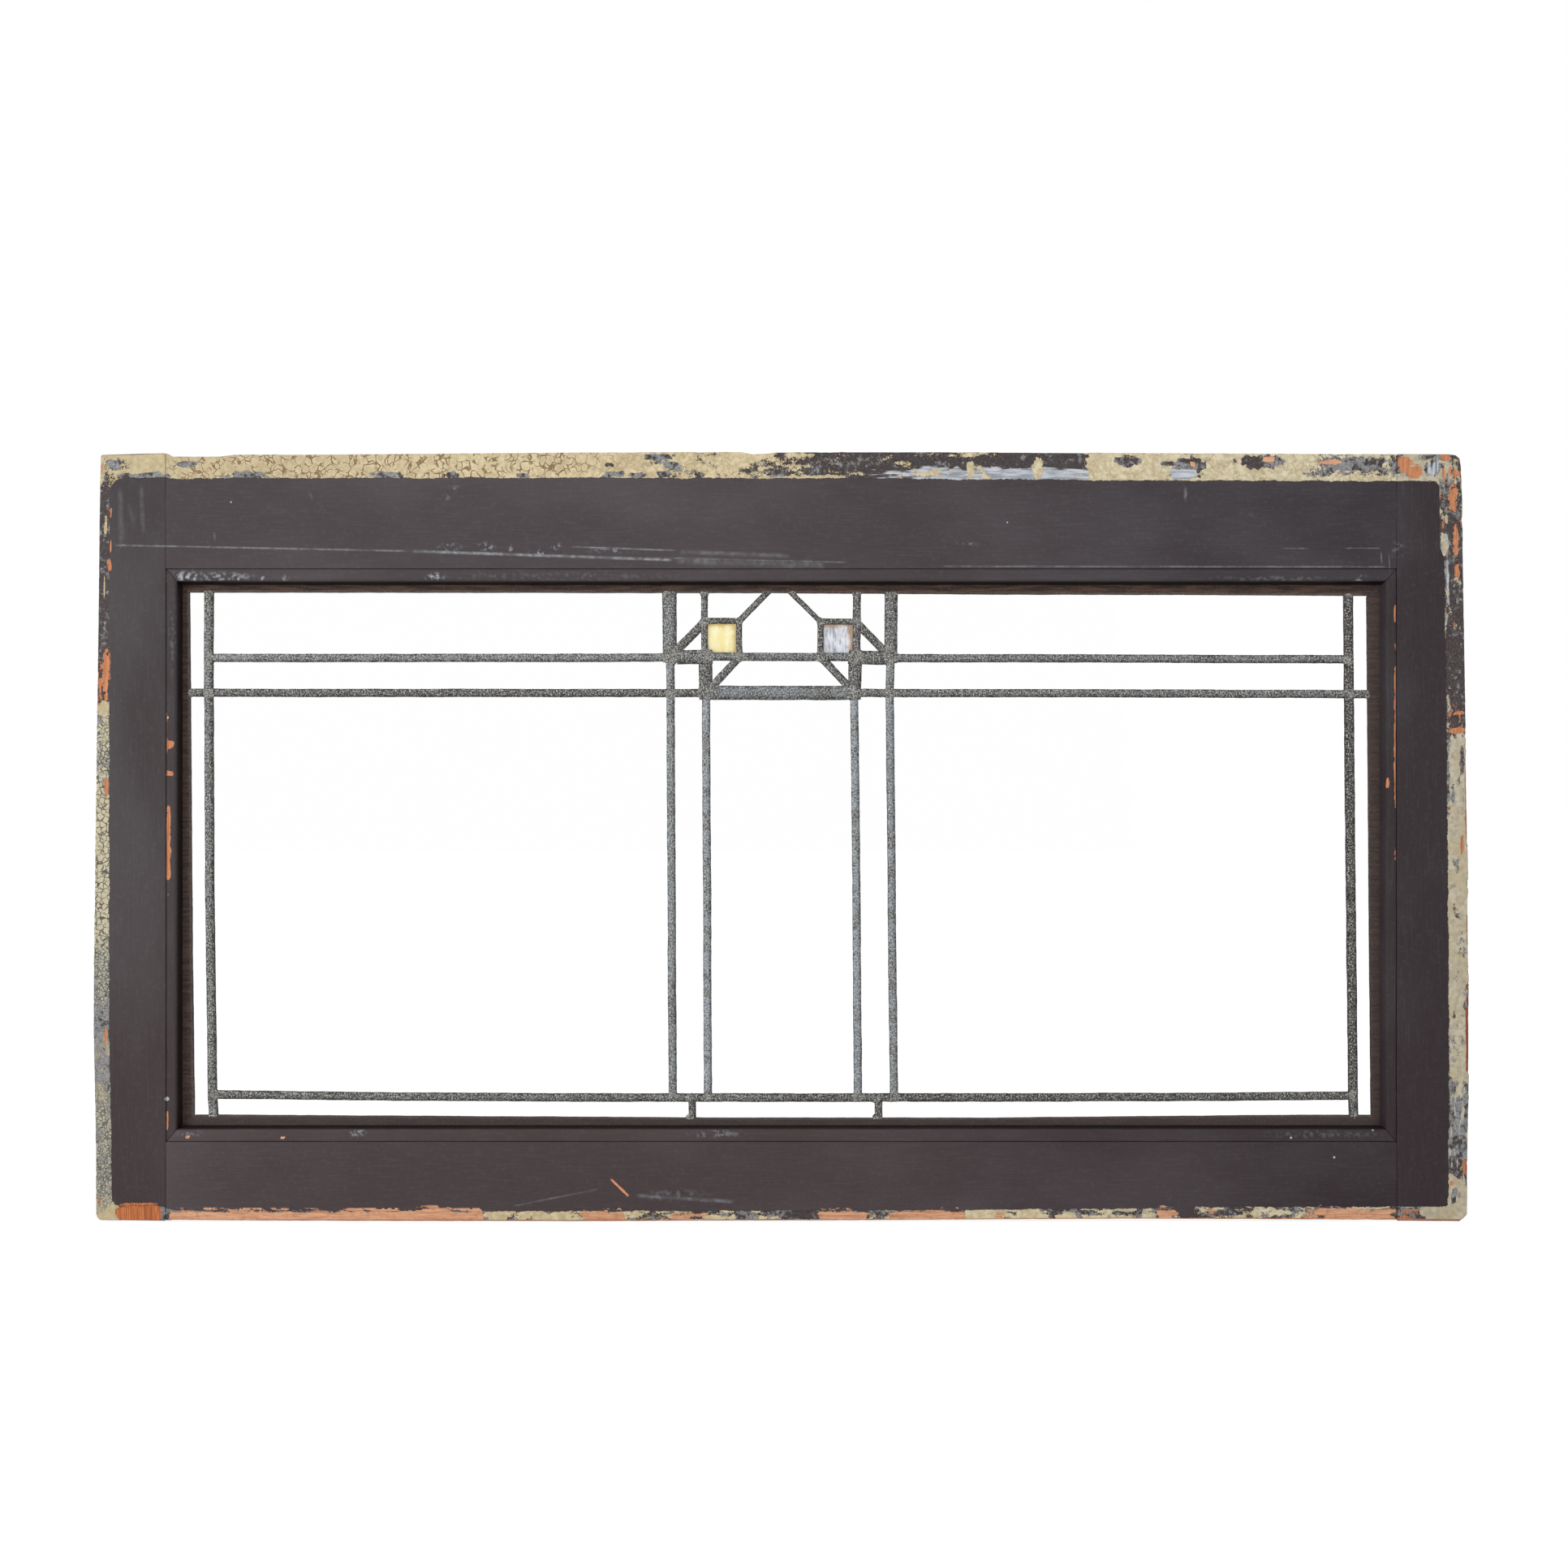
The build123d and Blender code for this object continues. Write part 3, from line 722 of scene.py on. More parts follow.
# Scratches on the dark paint: start, end, width and strength
SCRATCHES = (
    ((-594, 601.8), (-330, 596.5), 1.3, 0.35), ((-330, 596.5), (-95, 588.6), 2.0, 0.6),
    ((-100, 590.2), (60, 586.5), 1.0, 0.3), ((442, 599), (471, 598.8), 0.8, 0.3),
    ((499, 599.2), (534, 599), 0.8, 0.4), ((413, 629), (424, 627), 0.8, 0.3),
    ((359, 655), (359.5, 638), 2.4, 0.35), ((-421, 652), (-415, 640), 1.8, 0.15),
    ((533, 598), (534, 583), 0.9, 0.35), ((540, 596), (541, 576), 0.9, 0.3),
    ((-504, 616), (-503, 603), 1.4, 0.25), ((-511, 608), (-509, 602), 1.4, 0.2),
    ((-580, 640), (-575, 618), 3.0, 0.12), ((-588, 655), (-586, 600), 4.0, 0.1),
    ((-569, 660), (-567, 610), 3.0, 0.1), ((-190, 600.5), (-92, 597), 1.2, 0.4),
    ((-95, 588), (40, 584), 5.0, 0.22), ((-92, 596), (10, 592), 3.0, 0.2),
    ((-131, 24), (-40, 18), 2.6, 0.3), ((-240, 14), (-160, 30), 1.4, 0.2),
    ((140, 583), (540, 582.5), 1.2, 0.3),
)

# The ends of the one scratch that goes down to the wood
GOUGE = ((-152, 39), (-135, 22.5))

# Rubbed places on the dark paint: middle, half width and half height, and strength
SCUFFS = (
    ((-586.5, 602), (6, 2.2), 0.7), ((-295, 600), (11, 4), 0.95), ((-262, 601), (9, 4.5), 0.7),
    ((-240, 598), (3, 5), 0.5), ((-201, 601), (8, 4), 0.5), ((-150, 597), (24, 3), 0.4),
    ((-215, 595), (11, 3), 0.9), ((-300, 644), (7, 3), 0.4), ((-290, 652), (5, 3), 0.3),
    ((548, 598), (8, 8), 0.2), ((165, 603), (12, 1.6), 0.35), ((-95, 24), (34, 6), 0.18),
    ((-528, 574), (18, 6), 1.0), ((-495, 573.5), (28, 5), 0.7), ((-483, 571.5), (4, 3.5), 1.0),
    ((-460, 572), (3.5, 4), 0.9), ((-442, 572.5), (5, 3.5), 0.4), ((-308, 573.5), (10, 4.5), 0.8),
    ((515, 572), (7, 4), 0.6), ((-377, 79.4), (9, 4.5), 0.6), ((-58, 78.5), (26, 4), 0.4),
    ((-525, 79), (14, 4), 0.25), ((440, 572), (60, 3), 0.18), ((-200, 574), (120, 4), 0.12),
    ((531, 180), (4, 50), 0.2), ((-541, 520), (4, 40), 0.15), ((480, 78), (60, 4), 0.15),
)

# Small pale dots: place and radius
DOTS = (
    ((-546, 109.6), 2.0), ((-545.7, 448.6), 1.3), ((453.3, 75), 1.1), ((491.5, 57.7), 1.1),
    ((526.2, 82), 1.1), ((534.9, 122.6), 1.2), ((-582, 668), 1.0), ((-489, 640), 0.8), ((201, 622), 0.8),
)


def marks_on_paint(sh, medium, blotch, on_rails):
    """How much each place of the front is rubbed pale by scratches, scuffs and dots."""
    def lies_here(*places):
        reach = [abs(place[0]) for place in places]
        return min(reach) < RABBET_X + 3 if on_rails else max(reach) > RABBET_X - 15

    flat = sh.flat()
    broken = sh.times(sh.step(medium, 0.38, 0.6, 0.55, 1.0), sh.step(blotch, 0.4, 0.55, 0.4, 1))
    patchy = sh.times(sh.step(medium, 0.47, 0.6), sh.step(sh.noise(1.4, 3), 0.4, 0.6, 0.5, 1))
    values = []
    for start, end, width, strength in SCRATCHES:
        if lies_here(start, end):
            beside, within, half = line_distances(sh, flat, start, end)
            value = sh.times(sh.step(beside, 0.1, width, strength, 0), broken)
            values.append(sh.times(value, sh.step(within, half - 8, half, 1, 0)))
    for middle, halves, strength in SCUFFS:
        if lies_here(middle):
            reach = round_distance(sh, flat, middle, halves)
            values.append(sh.times(sh.step(reach, 0.2, 1.2, strength, 0), patchy))
    for middle, radius in DOTS:
        if lies_here(middle):
            reach = round_distance(sh, flat, middle, (radius, radius))
            values.append(sh.step(reach, 0.7, 1.1, 1, 0))
    total = functools.reduce(sh.larger, values)
    return sh.times(total, sh.step(sh.axes()["Y"], -0.0155, -0.0145, 1, 0))


def gouge(sh, medium):
    """The one short scratch that goes down to the wood."""
    beside, within, half = line_distances(sh, sh.flat(), *GOUGE)
    beside = sh.swayed(beside, medium, 1.2)
    return sh.times(sh.step(beside, 0.8, 1.2, 1, 0), sh.step(within, half - 3, half, 1, 0))


def line_distances(sh, flat, start, end):
    """How far each place is beside a line and from its middle along it, and half the line's length."""
    length = math.dist(start, end)
    x, z = (np.array(end) - start) / length
    offset = sh.vector("SUBTRACT", flat, (start[0], 0, start[1]))
    reach = sh.vector("DOT_PRODUCT", offset, (x, 0, z))
    beside = sh.math("ABSOLUTE", sh.vector("DOT_PRODUCT", offset, (-z, 0, x)))
    return beside, sh.math("ABSOLUTE", sh.math("SUBTRACT", reach, length / 2)), length / 2


def round_distance(sh, flat, middle, halves):
    """The distance from a middle, as a share of the half width and half height."""
    offset = sh.vector("SUBTRACT", flat, (middle[0], 0, middle[1]))
    return sh.vector("LENGTH", sh.vector("MULTIPLY", offset, (1 / halves[0], 0, 1 / halves[1])))


def wrinkled(sh, cream):
    """Cream paint with broken, curved wrinkles along the top, with a painted highlight beside each, and
    where they are.
    """
    arcs = sh.times(sh.attribute("arcs"), sh.step(sh.noise(9.0, 2), 0.4, 0.52))
    gap = sh.cracks(6.8, 1.4)
    line = sh.times(arcs, sh.step(gap, 0.2, 0.85, 1, 0))
    # Painted highlight: the cream is paler beside each wrinkle line.
    cream = sh.mix(sh.times(arcs, sh.step(gap, 0.7, 1.5, 0.5, 0)), cream, (222, 208, 174))
    return sh.mix(sh.times(line, 0.9), cream, (116, 92, 62)), line


def crackled(sh, cream, medium, fine, height):
    """Cream paint crackled into small cells down the left side, and where its cracks are."""
    low = sh.step(height, 0.23, 0.27, 1, 0)
    gap = sh.swayed(sh.between(low, sh.cracks(4.6, 0.6), sh.cracks(2.9, 0.6)), fine, 0.8)
    gap = sh.plus(gap, sh.math("SUBTRACT", 0.54, medium), 1.7)
    crackle = sh.attribute("crackle")
    tone = sh.mix(low, (190, 186, 162), (162, 162, 148))
    cream = sh.mix(sh.times(crackle, sh.step(height, 0.23, 0.27, 0.85, 0.6)), cream, tone)
    line = sh.times(crackle, sh.step(gap, 0.12, 0.62, 0.95, 0))
    return sh.mix(line, cream, (76, 75, 74)), line


def painted_wood(name, along_x, left_tone, shaded_right_tone, wood_tones):
    """Dark paint over older cream and grey coats, worn to the wood at the edges.

    The dark paint goes from the left tone to the darker right tone along the sash, a painted shade
    for the light falling off to the right, and the bare wood has a dark and a pale grain.
    """
    sh = new_material(name)

    def drawn_out(size, times):
        """Noise that is drawn out along the member."""
        return sh.noise(size, 3, (times, 1, 1) if along_x else (1, 1, times))

    brush, grain, broad = drawn_out(1.6, 16), drawn_out(0.9, 22), drawn_out(110, 2)
    fine, medium, blotch = sh.noise(1.1, 4), sh.noise(4.0, 4), sh.noise(18.0, 3)
    streak = drawn_out(2.2, 8)

    axes = sh.axes()
    place, height = axes["X"], axes["Z"]
    # Painted shade: the dark paint darkens from left to right, as the light falls off across the sash.
    dark = sh.tones(place, -0.05, 0.6, left_tone, shaded_right_tone)
    lighter = sh.mix(1.0, dark, (150, 150, 156), "SCREEN")
    dark = sh.flecks(dark, broad, 0.4, 0.7, 0.06, lighter)
    dark = sh.flecks(dark, brush, 0.45, 0.8, 0.035, lighter)
    dark = sh.flecks(dark, medium, 0.5, 0.75, 0.03, lighter)
    dark = sh.mix(sh.step(fine, 0.5, 0.75, 0, 0.3), dark, (196, 190, 190), "MULTIPLY")
    dark = sh.mix(sh.step(height, 0.05, 0.4, 1, 0), dark, (255, 245, 244), "MULTIPLY")
    dark = sh.mix(marks_on_paint(sh, medium, blotch, along_x), dark, (168, 173, 178))

    gloom = sh.swayed(sh.swayed(sh.attribute("gloom"), blotch, 2.2), medium, 2.4)
    gloomy = sh.tones(fine, 0.4, 0.7, (60, 53, 54), (86, 79, 78))
    undercoat = sh.tones(fine, 0.4, 0.62, (112, 111, 113), (146, 147, 147))
    undercoat = sh.tones(gloom, 0.25, 0.75, undercoat, gloomy)
    pale = sh.swayed(sh.attribute("pale"), streak, 1.6)
    bluish = sh.tones(streak, 0.4, 0.65, (146, 150, 158), (196, 200, 208))
    undercoat = sh.flecks(undercoat, pale, 0.35, 0.7, 0.9, bluish)
    low_right = sh.times(sh.step(place, 0.58, 0.59), sh.step(height, 0.19, 0.2, 1, 0))
    streaked = sh.times(low_right, sh.step(streak, 0.57, 0.64, 0, 0.8))
    undercoat = sh.mix(streaked, undercoat, (186, 180, 160))

    warm_cream = sh.tones(medium, 0.34, 0.66, (186, 169, 133), (210, 195, 159))
    cool_tones = ((186, 176, 148), (212, 202, 172)) if along_x else ((164, 156, 136), (188, 180, 158))
    cream = sh.tones(place, -0.1, 0.5, warm_cream, sh.tones(medium, 0.34, 0.66, *cool_tones))
    cream = sh.mix(sh.step(place, -0.5, -0.2, 0.4, 0), cream, (156, 142, 112))
    cream = sh.flecks(cream, blotch, 0.44, 0.66, 0.5, (172, 154, 120))
    cream = sh.flecks(cream, fine, 0.56, 0.74, 0.35, (146, 138, 118))
    if along_x:
        cream, sunk = wrinkled(sh, cream)
    else:
        cream, sunk = crackled(sh, cream, medium, fine, height)

    wood = sh.tones(grain, 0.3, 0.7, *wood_tones)
    wood = sh.flecks(wood, grain, 0.62, 0.7, 0.7, (140, 90, 62))
    wood = sh.flecks(wood, medium, 0.52, 0.7, 0.5, (158, 112, 86))
    wood = sh.mix(sh.step(height, 0.0014, 0.0028, 0.8, 0), wood, (138, 76, 50))
    wood = sh.flecks(wood, place, 0.6075, 0.6095, 0.9, (120, 58, 38))
    corner = sh.times(sh.step(height, 0.016, 0.03, 0.8, 0), sh.step(place, -0.552, -0.548, 1, 0))
    wood = sh.mix(corner, wood, sh.tones(grain, 0.35, 0.6, (146, 80, 46), (194, 114, 68)))

    speckle = sh.plus(sh.times(medium, 0.4), fine, 0.6)

    def mask(attribute, spread, low, high):
        """An attribute cut along a ragged line."""
        return sh.step(sh.swayed(sh.attribute(attribute), speckle, spread), low, high)

    cream_mask = mask("cream", 0.9, 0.46, 0.54)
    bare_mask = mask("bare", 0.7, 0.47, 0.55)
    face_mask = mask("face", 4.0, -0.2, 0.3)
    base = sh.mix(face_mask, sh.mix(cream_mask, undercoat, cream), dark)
    base = sh.mix(bare_mask, base, wood)
    base = sh.mix(gouge(sh, medium), base, (206, 140, 100))
    # Painted shadow, with some brown stain, on the slopes of the stops towards the glass.
    stain_and_shade = sh.tones(grain, 0.35, 0.7, (16, 10, 10), (36, 26, 23))
    base = sh.tones(sh.attribute("stain_and_shade"), 0, 1, base, stain_and_shade)
    base = sh.mix(sh.times(sh.attribute("line"), 0.6), base, (30, 24, 24))

    worn = sh.plus(sh.times(cream_mask, 0.6), bare_mask, -0.6)
    worn = sh.plus(worn, sh.times(sunk, cream_mask), -0.5)
    normal = sh.bump(sh.between(face_mask, worn, 0.8), 0.3, 0.8)
    normal = sh.bump(brush, 0.1, 0.4, normal)
    normal = sh.bump(fine, 0.1, 0.5, normal)
    return sh.show(sh.surface(base, sh.step(bare_mask, 0, 1, 0.6, 0.85), normal, 0.14))


def came_metal():
    """Dull grey metal, speckled and pitted, with a pale bluish patina, browned places and painted shade
    along its edges.
    """
    sh = new_material("came_metal")
    fine, medium, blotch = sh.noise(1.3, 3), sh.noise(4.5, 4), sh.noise(13, 3)
    grey = sh.tones(medium, 0.36, 0.64, (106, 105, 103), (142, 142, 140))
    bloom_and_highlight = sh.times(sh.attribute("bloom_and_highlight"), sh.step(blotch, 0.36, 0.56, 0.2, 1))
    grey = sh.mix(bloom_and_highlight, grey, (157, 165, 172))
    shade = sh.times(sh.attribute("shade"), sh.step(blotch, 0.35, 0.6, 1, 0.75))
    grey = sh.mix(shade, grey, (150, 140, 134), "MULTIPLY")
    clear = sh.plus(1.0, bloom_and_highlight, -0.35)
    base = sh.mix(sh.times(clear, sh.step(fine, 0.38, 0.55, 1, 0)), grey, (112, 108, 106), "MULTIPLY")
    base = sh.mix(sh.times(clear, sh.step(fine, 0.52, 0.66, 0, 0.75)), base, (202, 203, 199))
    solder = sh.times(sh.attribute("solder"), sh.step(medium, 0.4, 0.62, 0.0, 0.55))
    base = sh.mix(solder, base, (152, 149, 134))
    # Painted shade along the edges of each came and on its lower and right side.
    edge = sh.times(sh.attribute("edge"), sh.step(fine, 0.35, 0.6, 0.95, 0.55))
    base = sh.mix(edge, base, (38, 34, 33))
    normal = sh.bump(fine, 0.15, 0.5, sh.bump(medium, 0.25, 0.5))
    return sh.show(sh.surface(base, sh.step(fine, 0.3, 0.7, 0.5, 0.7), normal, 0.25, 0.15))


def border_metal():
    """The border came: brown, and dark with painted shadow next to the stops, with a greyer painted
    highlight at its inner edge.
    """
    sh = new_material("border_metal")
    fine, streak, medium = sh.noise(1.2, 4), sh.noise(2.2, 3, (10, 1, 1)), sh.noise(6, 3)
    brown = sh.tones(streak, 0.35, 0.68, (46, 34, 31), (82, 61, 50))
    # Dark grey and brown: painted shadow of the stops, mixed with brown stain.
    base = sh.mix(sh.attribute("stain_and_shade"), (64, 57, 57), brown)
    base = sh.flecks(base, fine, 0.54, 0.7, 0.5, (100, 92, 84))
    # Painted highlight along the inner edge of the came.
    rim = sh.times(sh.attribute("bloom_and_highlight"), sh.step(medium, 0.35, 0.65, 0.55, 1))
    base = sh.mix(rim, base, sh.tones(fine, 0.4, 0.6, (84, 77, 75), (108, 101, 98)))
    return sh.show(sh.surface(base, 0.62, sh.bump(fine, 0.15, 0.6), 0.2, 0.1))


def clear_glass():
    """Clear glass that lets straight through what is behind it, with a faint wavy gloss.

    Only the outer faces have the gloss, because the light isn't bent on its way through.
    """
    sh = new_material("clear_glass")
    normal = sh.bump(sh.noise(28, 2), 0.5, 0.25)
    gloss = sh.node("ShaderNodeBsdfGlossy", {"Roughness": 0.0, "Normal": normal}).outputs[0]
    through = sh.node("ShaderNodeBsdfTransparent", {}).outputs[0]
    fresnel = sh.node("ShaderNodeFresnel", {"IOR": 1.45, "Normal": normal}).outputs[0]
    inner_face = sh.node("ShaderNodeNewGeometry", {}).outputs["Backfacing"]
    share = sh.times(fresnel, sh.math("SUBTRACT", 1.0, inner_face))
    return sh.show(sh.blend(share, through, gloss))


def coloured_glass(name, tones, streak_size, box):
    """Milky sheet glass with soft streaks and a darker rim beside its cames."""
    pale, deep, streak_tone, rim_tone = tones
    sh = new_material(name)
    swirl = sh.noise(8, 4, warp=0.8)
    base = sh.tones(swirl, 0.36, 0.64, pale, deep)
    base = sh.flecks(base, sh.noise(streak_size, 2, (1, 1, 6), 0.6), 0.46, 0.68, 0.85, streak_tone)
    base = sh.flecks(base, sh.noise(1.6, 4), 0.55, 0.7, 0.5, pale)
    low, high = box
    middle, half = (low + high) / 2 * MM, (high - low) / 2 * MM
    offset = sh.vector("SUBTRACT", sh.position, tuple(middle))
    parts = sh.axes(sh.vector("MULTIPLY", offset, (1 / half[0], 0, 1 / half[2])))
    aside = sh.math("ABSOLUTE", sh.math("ADD", parts["X"], 0.12))
    rim = sh.swayed(sh.larger(aside, sh.math("ABSOLUTE", parts["Z"])), swirl, 0.7)
    base = sh.flecks(base, rim, 0.66, 0.98, 0.8, rim_tone)
    normal = sh.bump(swirl, 0.6, 0.5)
    through = sh.node("ShaderNodeBsdfTranslucent", {"Color": base, "Normal": normal}).outputs[0]
    return sh.show(sh.blend(0.5, sh.surface(base, 0.15, normal, 0.4), through))


def bare_wood():
    """Bare dry wood."""
    sh = new_material("bare_wood")
    grain = sh.noise(1.0, 4, (20, 1, 1))
    base = sh.tones(grain, 0.3, 0.7, (128, 88, 58), (176, 130, 90))
    return sh.show(sh.surface(base, 0.8, sh.bump(grain, 0.2, 0.6)))


# Glazing stops

# Chips in the paint of the stops: left, right, low and high
STOP_CHIPS = (
    (-547, -545, 80, 96), (-530, -526, 74, 77), (-445, -441, 74, 76), (-547, -540, 421, 428),
    (-547, -541, 397, 401), (-547, -543, 300, 362), (-548, -546, 410, 450), (545, 548, 534, 548),
    (545, 548, 352, 498), (538, 541, 385, 395), (-548, -546, 568, 576),
)

# How dark the slope of each stop towards the glass is painted: painted shadow where the light from the left
# doesn't reach, with brown stain on the top slope and dirt on the bottom one; the lit right slope has none
STOP_STAIN_AND_SHADE = {"top": 1.0, "left": 0.9, "bottom": 0.9, "right": 0.0}


def stop_section(face):
    """A stop's section: (across from the wall, depth) points, rounded over towards the glass."""
    front = FRONT + STOP_SETBACK
    back = PANEL_FRONT
    shoulder = face - STOP_ROUND * 0.8
    points = [(-0.2, front + 0.3), (0.1, front + 0.08), (0.7, front)]
    points += [(u, front) for u in run(1.4, shoulder, 1.1)]
    points += [(u, y) for u, y in arc((shoulder, front + STOP_ROUND), STOP_ROUND, -90, -15, 5)]
    start = np.array(points[-1])
    end = np.array([face + STOP_SLOPE, back])
    points += [tuple(start + (end - start) * t) for t in (0.3, 0.6, 0.85, 1.0)]
    points += [(u, back) for u in run(face + STOP_SLOPE - 3, 0, 3)][:-1]
    points += [(-0.2, back), (-0.2, (front + back) / 2)]
    return np.array(points)


def build_stops(materials):
    """The four strips round the panel, with open mitres."""
    left, right = -RABBET_X + STOP_GAP, RABBET_X - STOP_GAP
    head, foot = RABBET_HEAD - STOP_GAP, RABBET_FOOT + STOP_GAP
    sides = {
        "top": ((left, head), (right, head), (0, -1)),
        "bottom": ((left, foot), (right, foot), (0, 1)),
        "left": ((left, foot), (left, head), (1, 0)),
        "right": ((right, foot), (right, head), (-1, 0)),
    }
    for name, (start, end, inward) in sides.items():
        is_rail = inward[0] == 0
        face, other_face = (RAIL_STOP, STILE_STOP) if is_rail else (STILE_STOP, RAIL_STOP)
        section = stop_section(face)
        own, other = (0, face, face + STOP_SLOPE), (0, other_face, other_face + STOP_SLOPE)
        mitre = np.interp(section[:, 0], own, other) + MITRE_GAP / 2
        rings, into = bar(start, end, inward, section, even(math.dist(start, end), 2.0), (mitre, mitre))
        shape = rings.shape
        points = rings.reshape(-1, 3)
        across = np.broadcast_to(section[:, 0], shape[:2]).ravel()
        state = stop_state(points, across, face, STOP_STAIN_AND_SHADE[name])
        depth = 0.12 * (1 + noise(points, 12, 81)) + 0.4 * smooth_step(state["bare"], 0.4, 0.6)
        points = points + into.reshape(-1, 3) * depth[:, None]
        mesh = loft(name + "_stop", points.reshape(shape), state)
        add_piece(name + "_stop_strip", mesh, materials[is_rail], [name + "_stop"])


def stop_state(points, across, face, stain_and_shade):
    """The paint on a stop, with the attributes that the sash has."""
    inner = smooth_step(across, face + 0.1, face + 0.8)
    bare = 0.1 + 0.14 * noise(points, 9, 82) + 0.1 * noise(points, 3, 83)
    bare = np.maximum(bare, patches(points, STOP_CHIPS, 84))
    plain = dict.fromkeys(("cream", "pale", "crackle", "arcs"), 0.0)
    plain |= {"face": 20.0, "gloom": 0.5, "crack": 9.0}
    return {key: np.full(len(points), value) for key, value in plain.items()} | {
        "bare": np.clip(bare, 0, 1) * (1 - inner),
        "line": smooth_step(1.0 - across, 0, 1) * (0.5 + 0.5 * noise(points, 25, 85)),
        # The slope towards the glass gets painted shadow and stain.
        "stain_and_shade": inner * stain_and_shade,
    }


# Cames


# How far the uprights of the panel stand to the right of their lines: place, then (height, shift) pairs
UPRIGHT_SHIFTS = (
    (-541, ((93, 0), (561, 0))),
    (-526, ((93, -1.4), (290, -2.2), (561, -2.3))),
    (-510, ((93, -0.8), (110, -1.8), (290, -2.8), (471, -2.2), (561, -1.2))),
    (-99, ((110, -0.6), (471, 0.2), (561, 0))),
    (-67, ((110, -0.3), (471, 0.8), (502, 0.5), (515, -0.4), (561, 0))),
    (0, ((110, 0), (561, 0))),
    (36, ((471, 0), (502, 0.5), (561, 1.2))),
    (67, ((110, 0), (290, 0.2), (471, -0.7), (496, 0.6), (508, 2), (561, 2.8))),
    (98, ((110, 1), (290, 0.6), (471, 0), (502, 1), (515, 1.3), (561, 1.8))),
    (510, ((93, 1.8), (110, 1.4), (471, 0.3), (561, 0.3))),
    (535, ((93, 0), (561, 0))),
)

# How far the bars stand above their lines: height, then (place, shift) pairs
BAR_SHIFTS = (
    (80, ((-535, 0), (535, 0))),
    (93, ((-511, 0.7), (-265, -0.7), (-50, -2), (180, -2), (460, 0.5))),
    (110, ((-511, 1.4), (-340, -0.7), (-190, -1.5), (200, -1.5), (390, -0.9), (511, 0.2))),
    (471, ((-520, 0.6), (0, 0.4), (300, 0.3), (511, -0.6))),
    (502, ((-511, 0.2), (-120, 0.6), (-60, 1.6), (60, 1.2), (98, 0.2), (300, -0.2), (511, -1))),
    (535, ((-67, 0.8), (0, 0.4), (67, 0))),
    (561, ((-481, 1.2), (0, 0.7), (170, -0.5), (460, -1.4), (535, -2))),
    (573, ((-535, 0), (535, 0))),
)


def between_lines(lines, across, place):
    """The value between listed lines, each given as its place across and (place, value) pairs."""
    places = np.array([line for line, _ in lines], float)
    values = np.stack([along(place, pairs) for _, pairs in lines])
    upper = np.clip(np.searchsorted(places, across), 1, len(places) - 1)
    share = np.clip((across - places[upper - 1]) / (places[upper] - places[upper - 1]), 0, 1)
    pick = np.arange(len(across))
    return values[upper - 1, pick] * (1 - share) + values[upper, pick] * share


def settled(points):
    """Points of the panel moved as the handmade, sagging lattice stands."""
    x, _, z = points.T
    moved = points.copy()
    moved[:, 0] += between_lines(UPRIGHT_SHIFTS, x, z)
    moved[:, 2] += between_lines(BAR_SHIFTS, z, x)
    return moved


def racked(point):
    """A point of the panel, carried sideways by the panel's slight lean."""
    x, z = point
    return np.array([x - RACK * (z - PANEL_MIDDLE) / PANEL_HEIGHT, z])


def came_section(width, crowned):
    """The H section of a came as (across, depth) points round the ring."""
    half = width / 2
    channel = GLASS / 2
    lip = channel + FLANGE_EDGE
    shares = np.array([-1, -0.92, -0.72, -0.4, 0, 0.4, 0.72, 0.92, 1])
    shape = 1 - np.abs(shares) ** 2.6 if crowned else np.abs(shares) < 0.95
    rise = (CAME_DEPTH / 2 - lip) * shape
    front = [(s * half, -(lip + r)) for s, r in zip(shares, rise)]
    right = [(half, -channel), (HEART / 2, -channel), (HEART / 2, channel), (half, channel)]
    back = [(-u, -y) for u, y in front]
    left = [(-u, -y) for u, y in right]
    section = np.array(front + right + back + left)
    section[:, 1] += PANEL_Y
    return section


def metal_state(count, bloom_and_highlight, shade, stain_and_shade, solder, edge):
    """The state of a came or of solder at each point, as the attributes that the materials read."""
    values = {"bloom_and_highlight": bloom_and_highlight, "shade": shade, "stain_and_shade": stain_and_shade, "solder": solder, "edge": edge}
    return {key: np.broadcast_to(value, count) for key, value in values.items()}


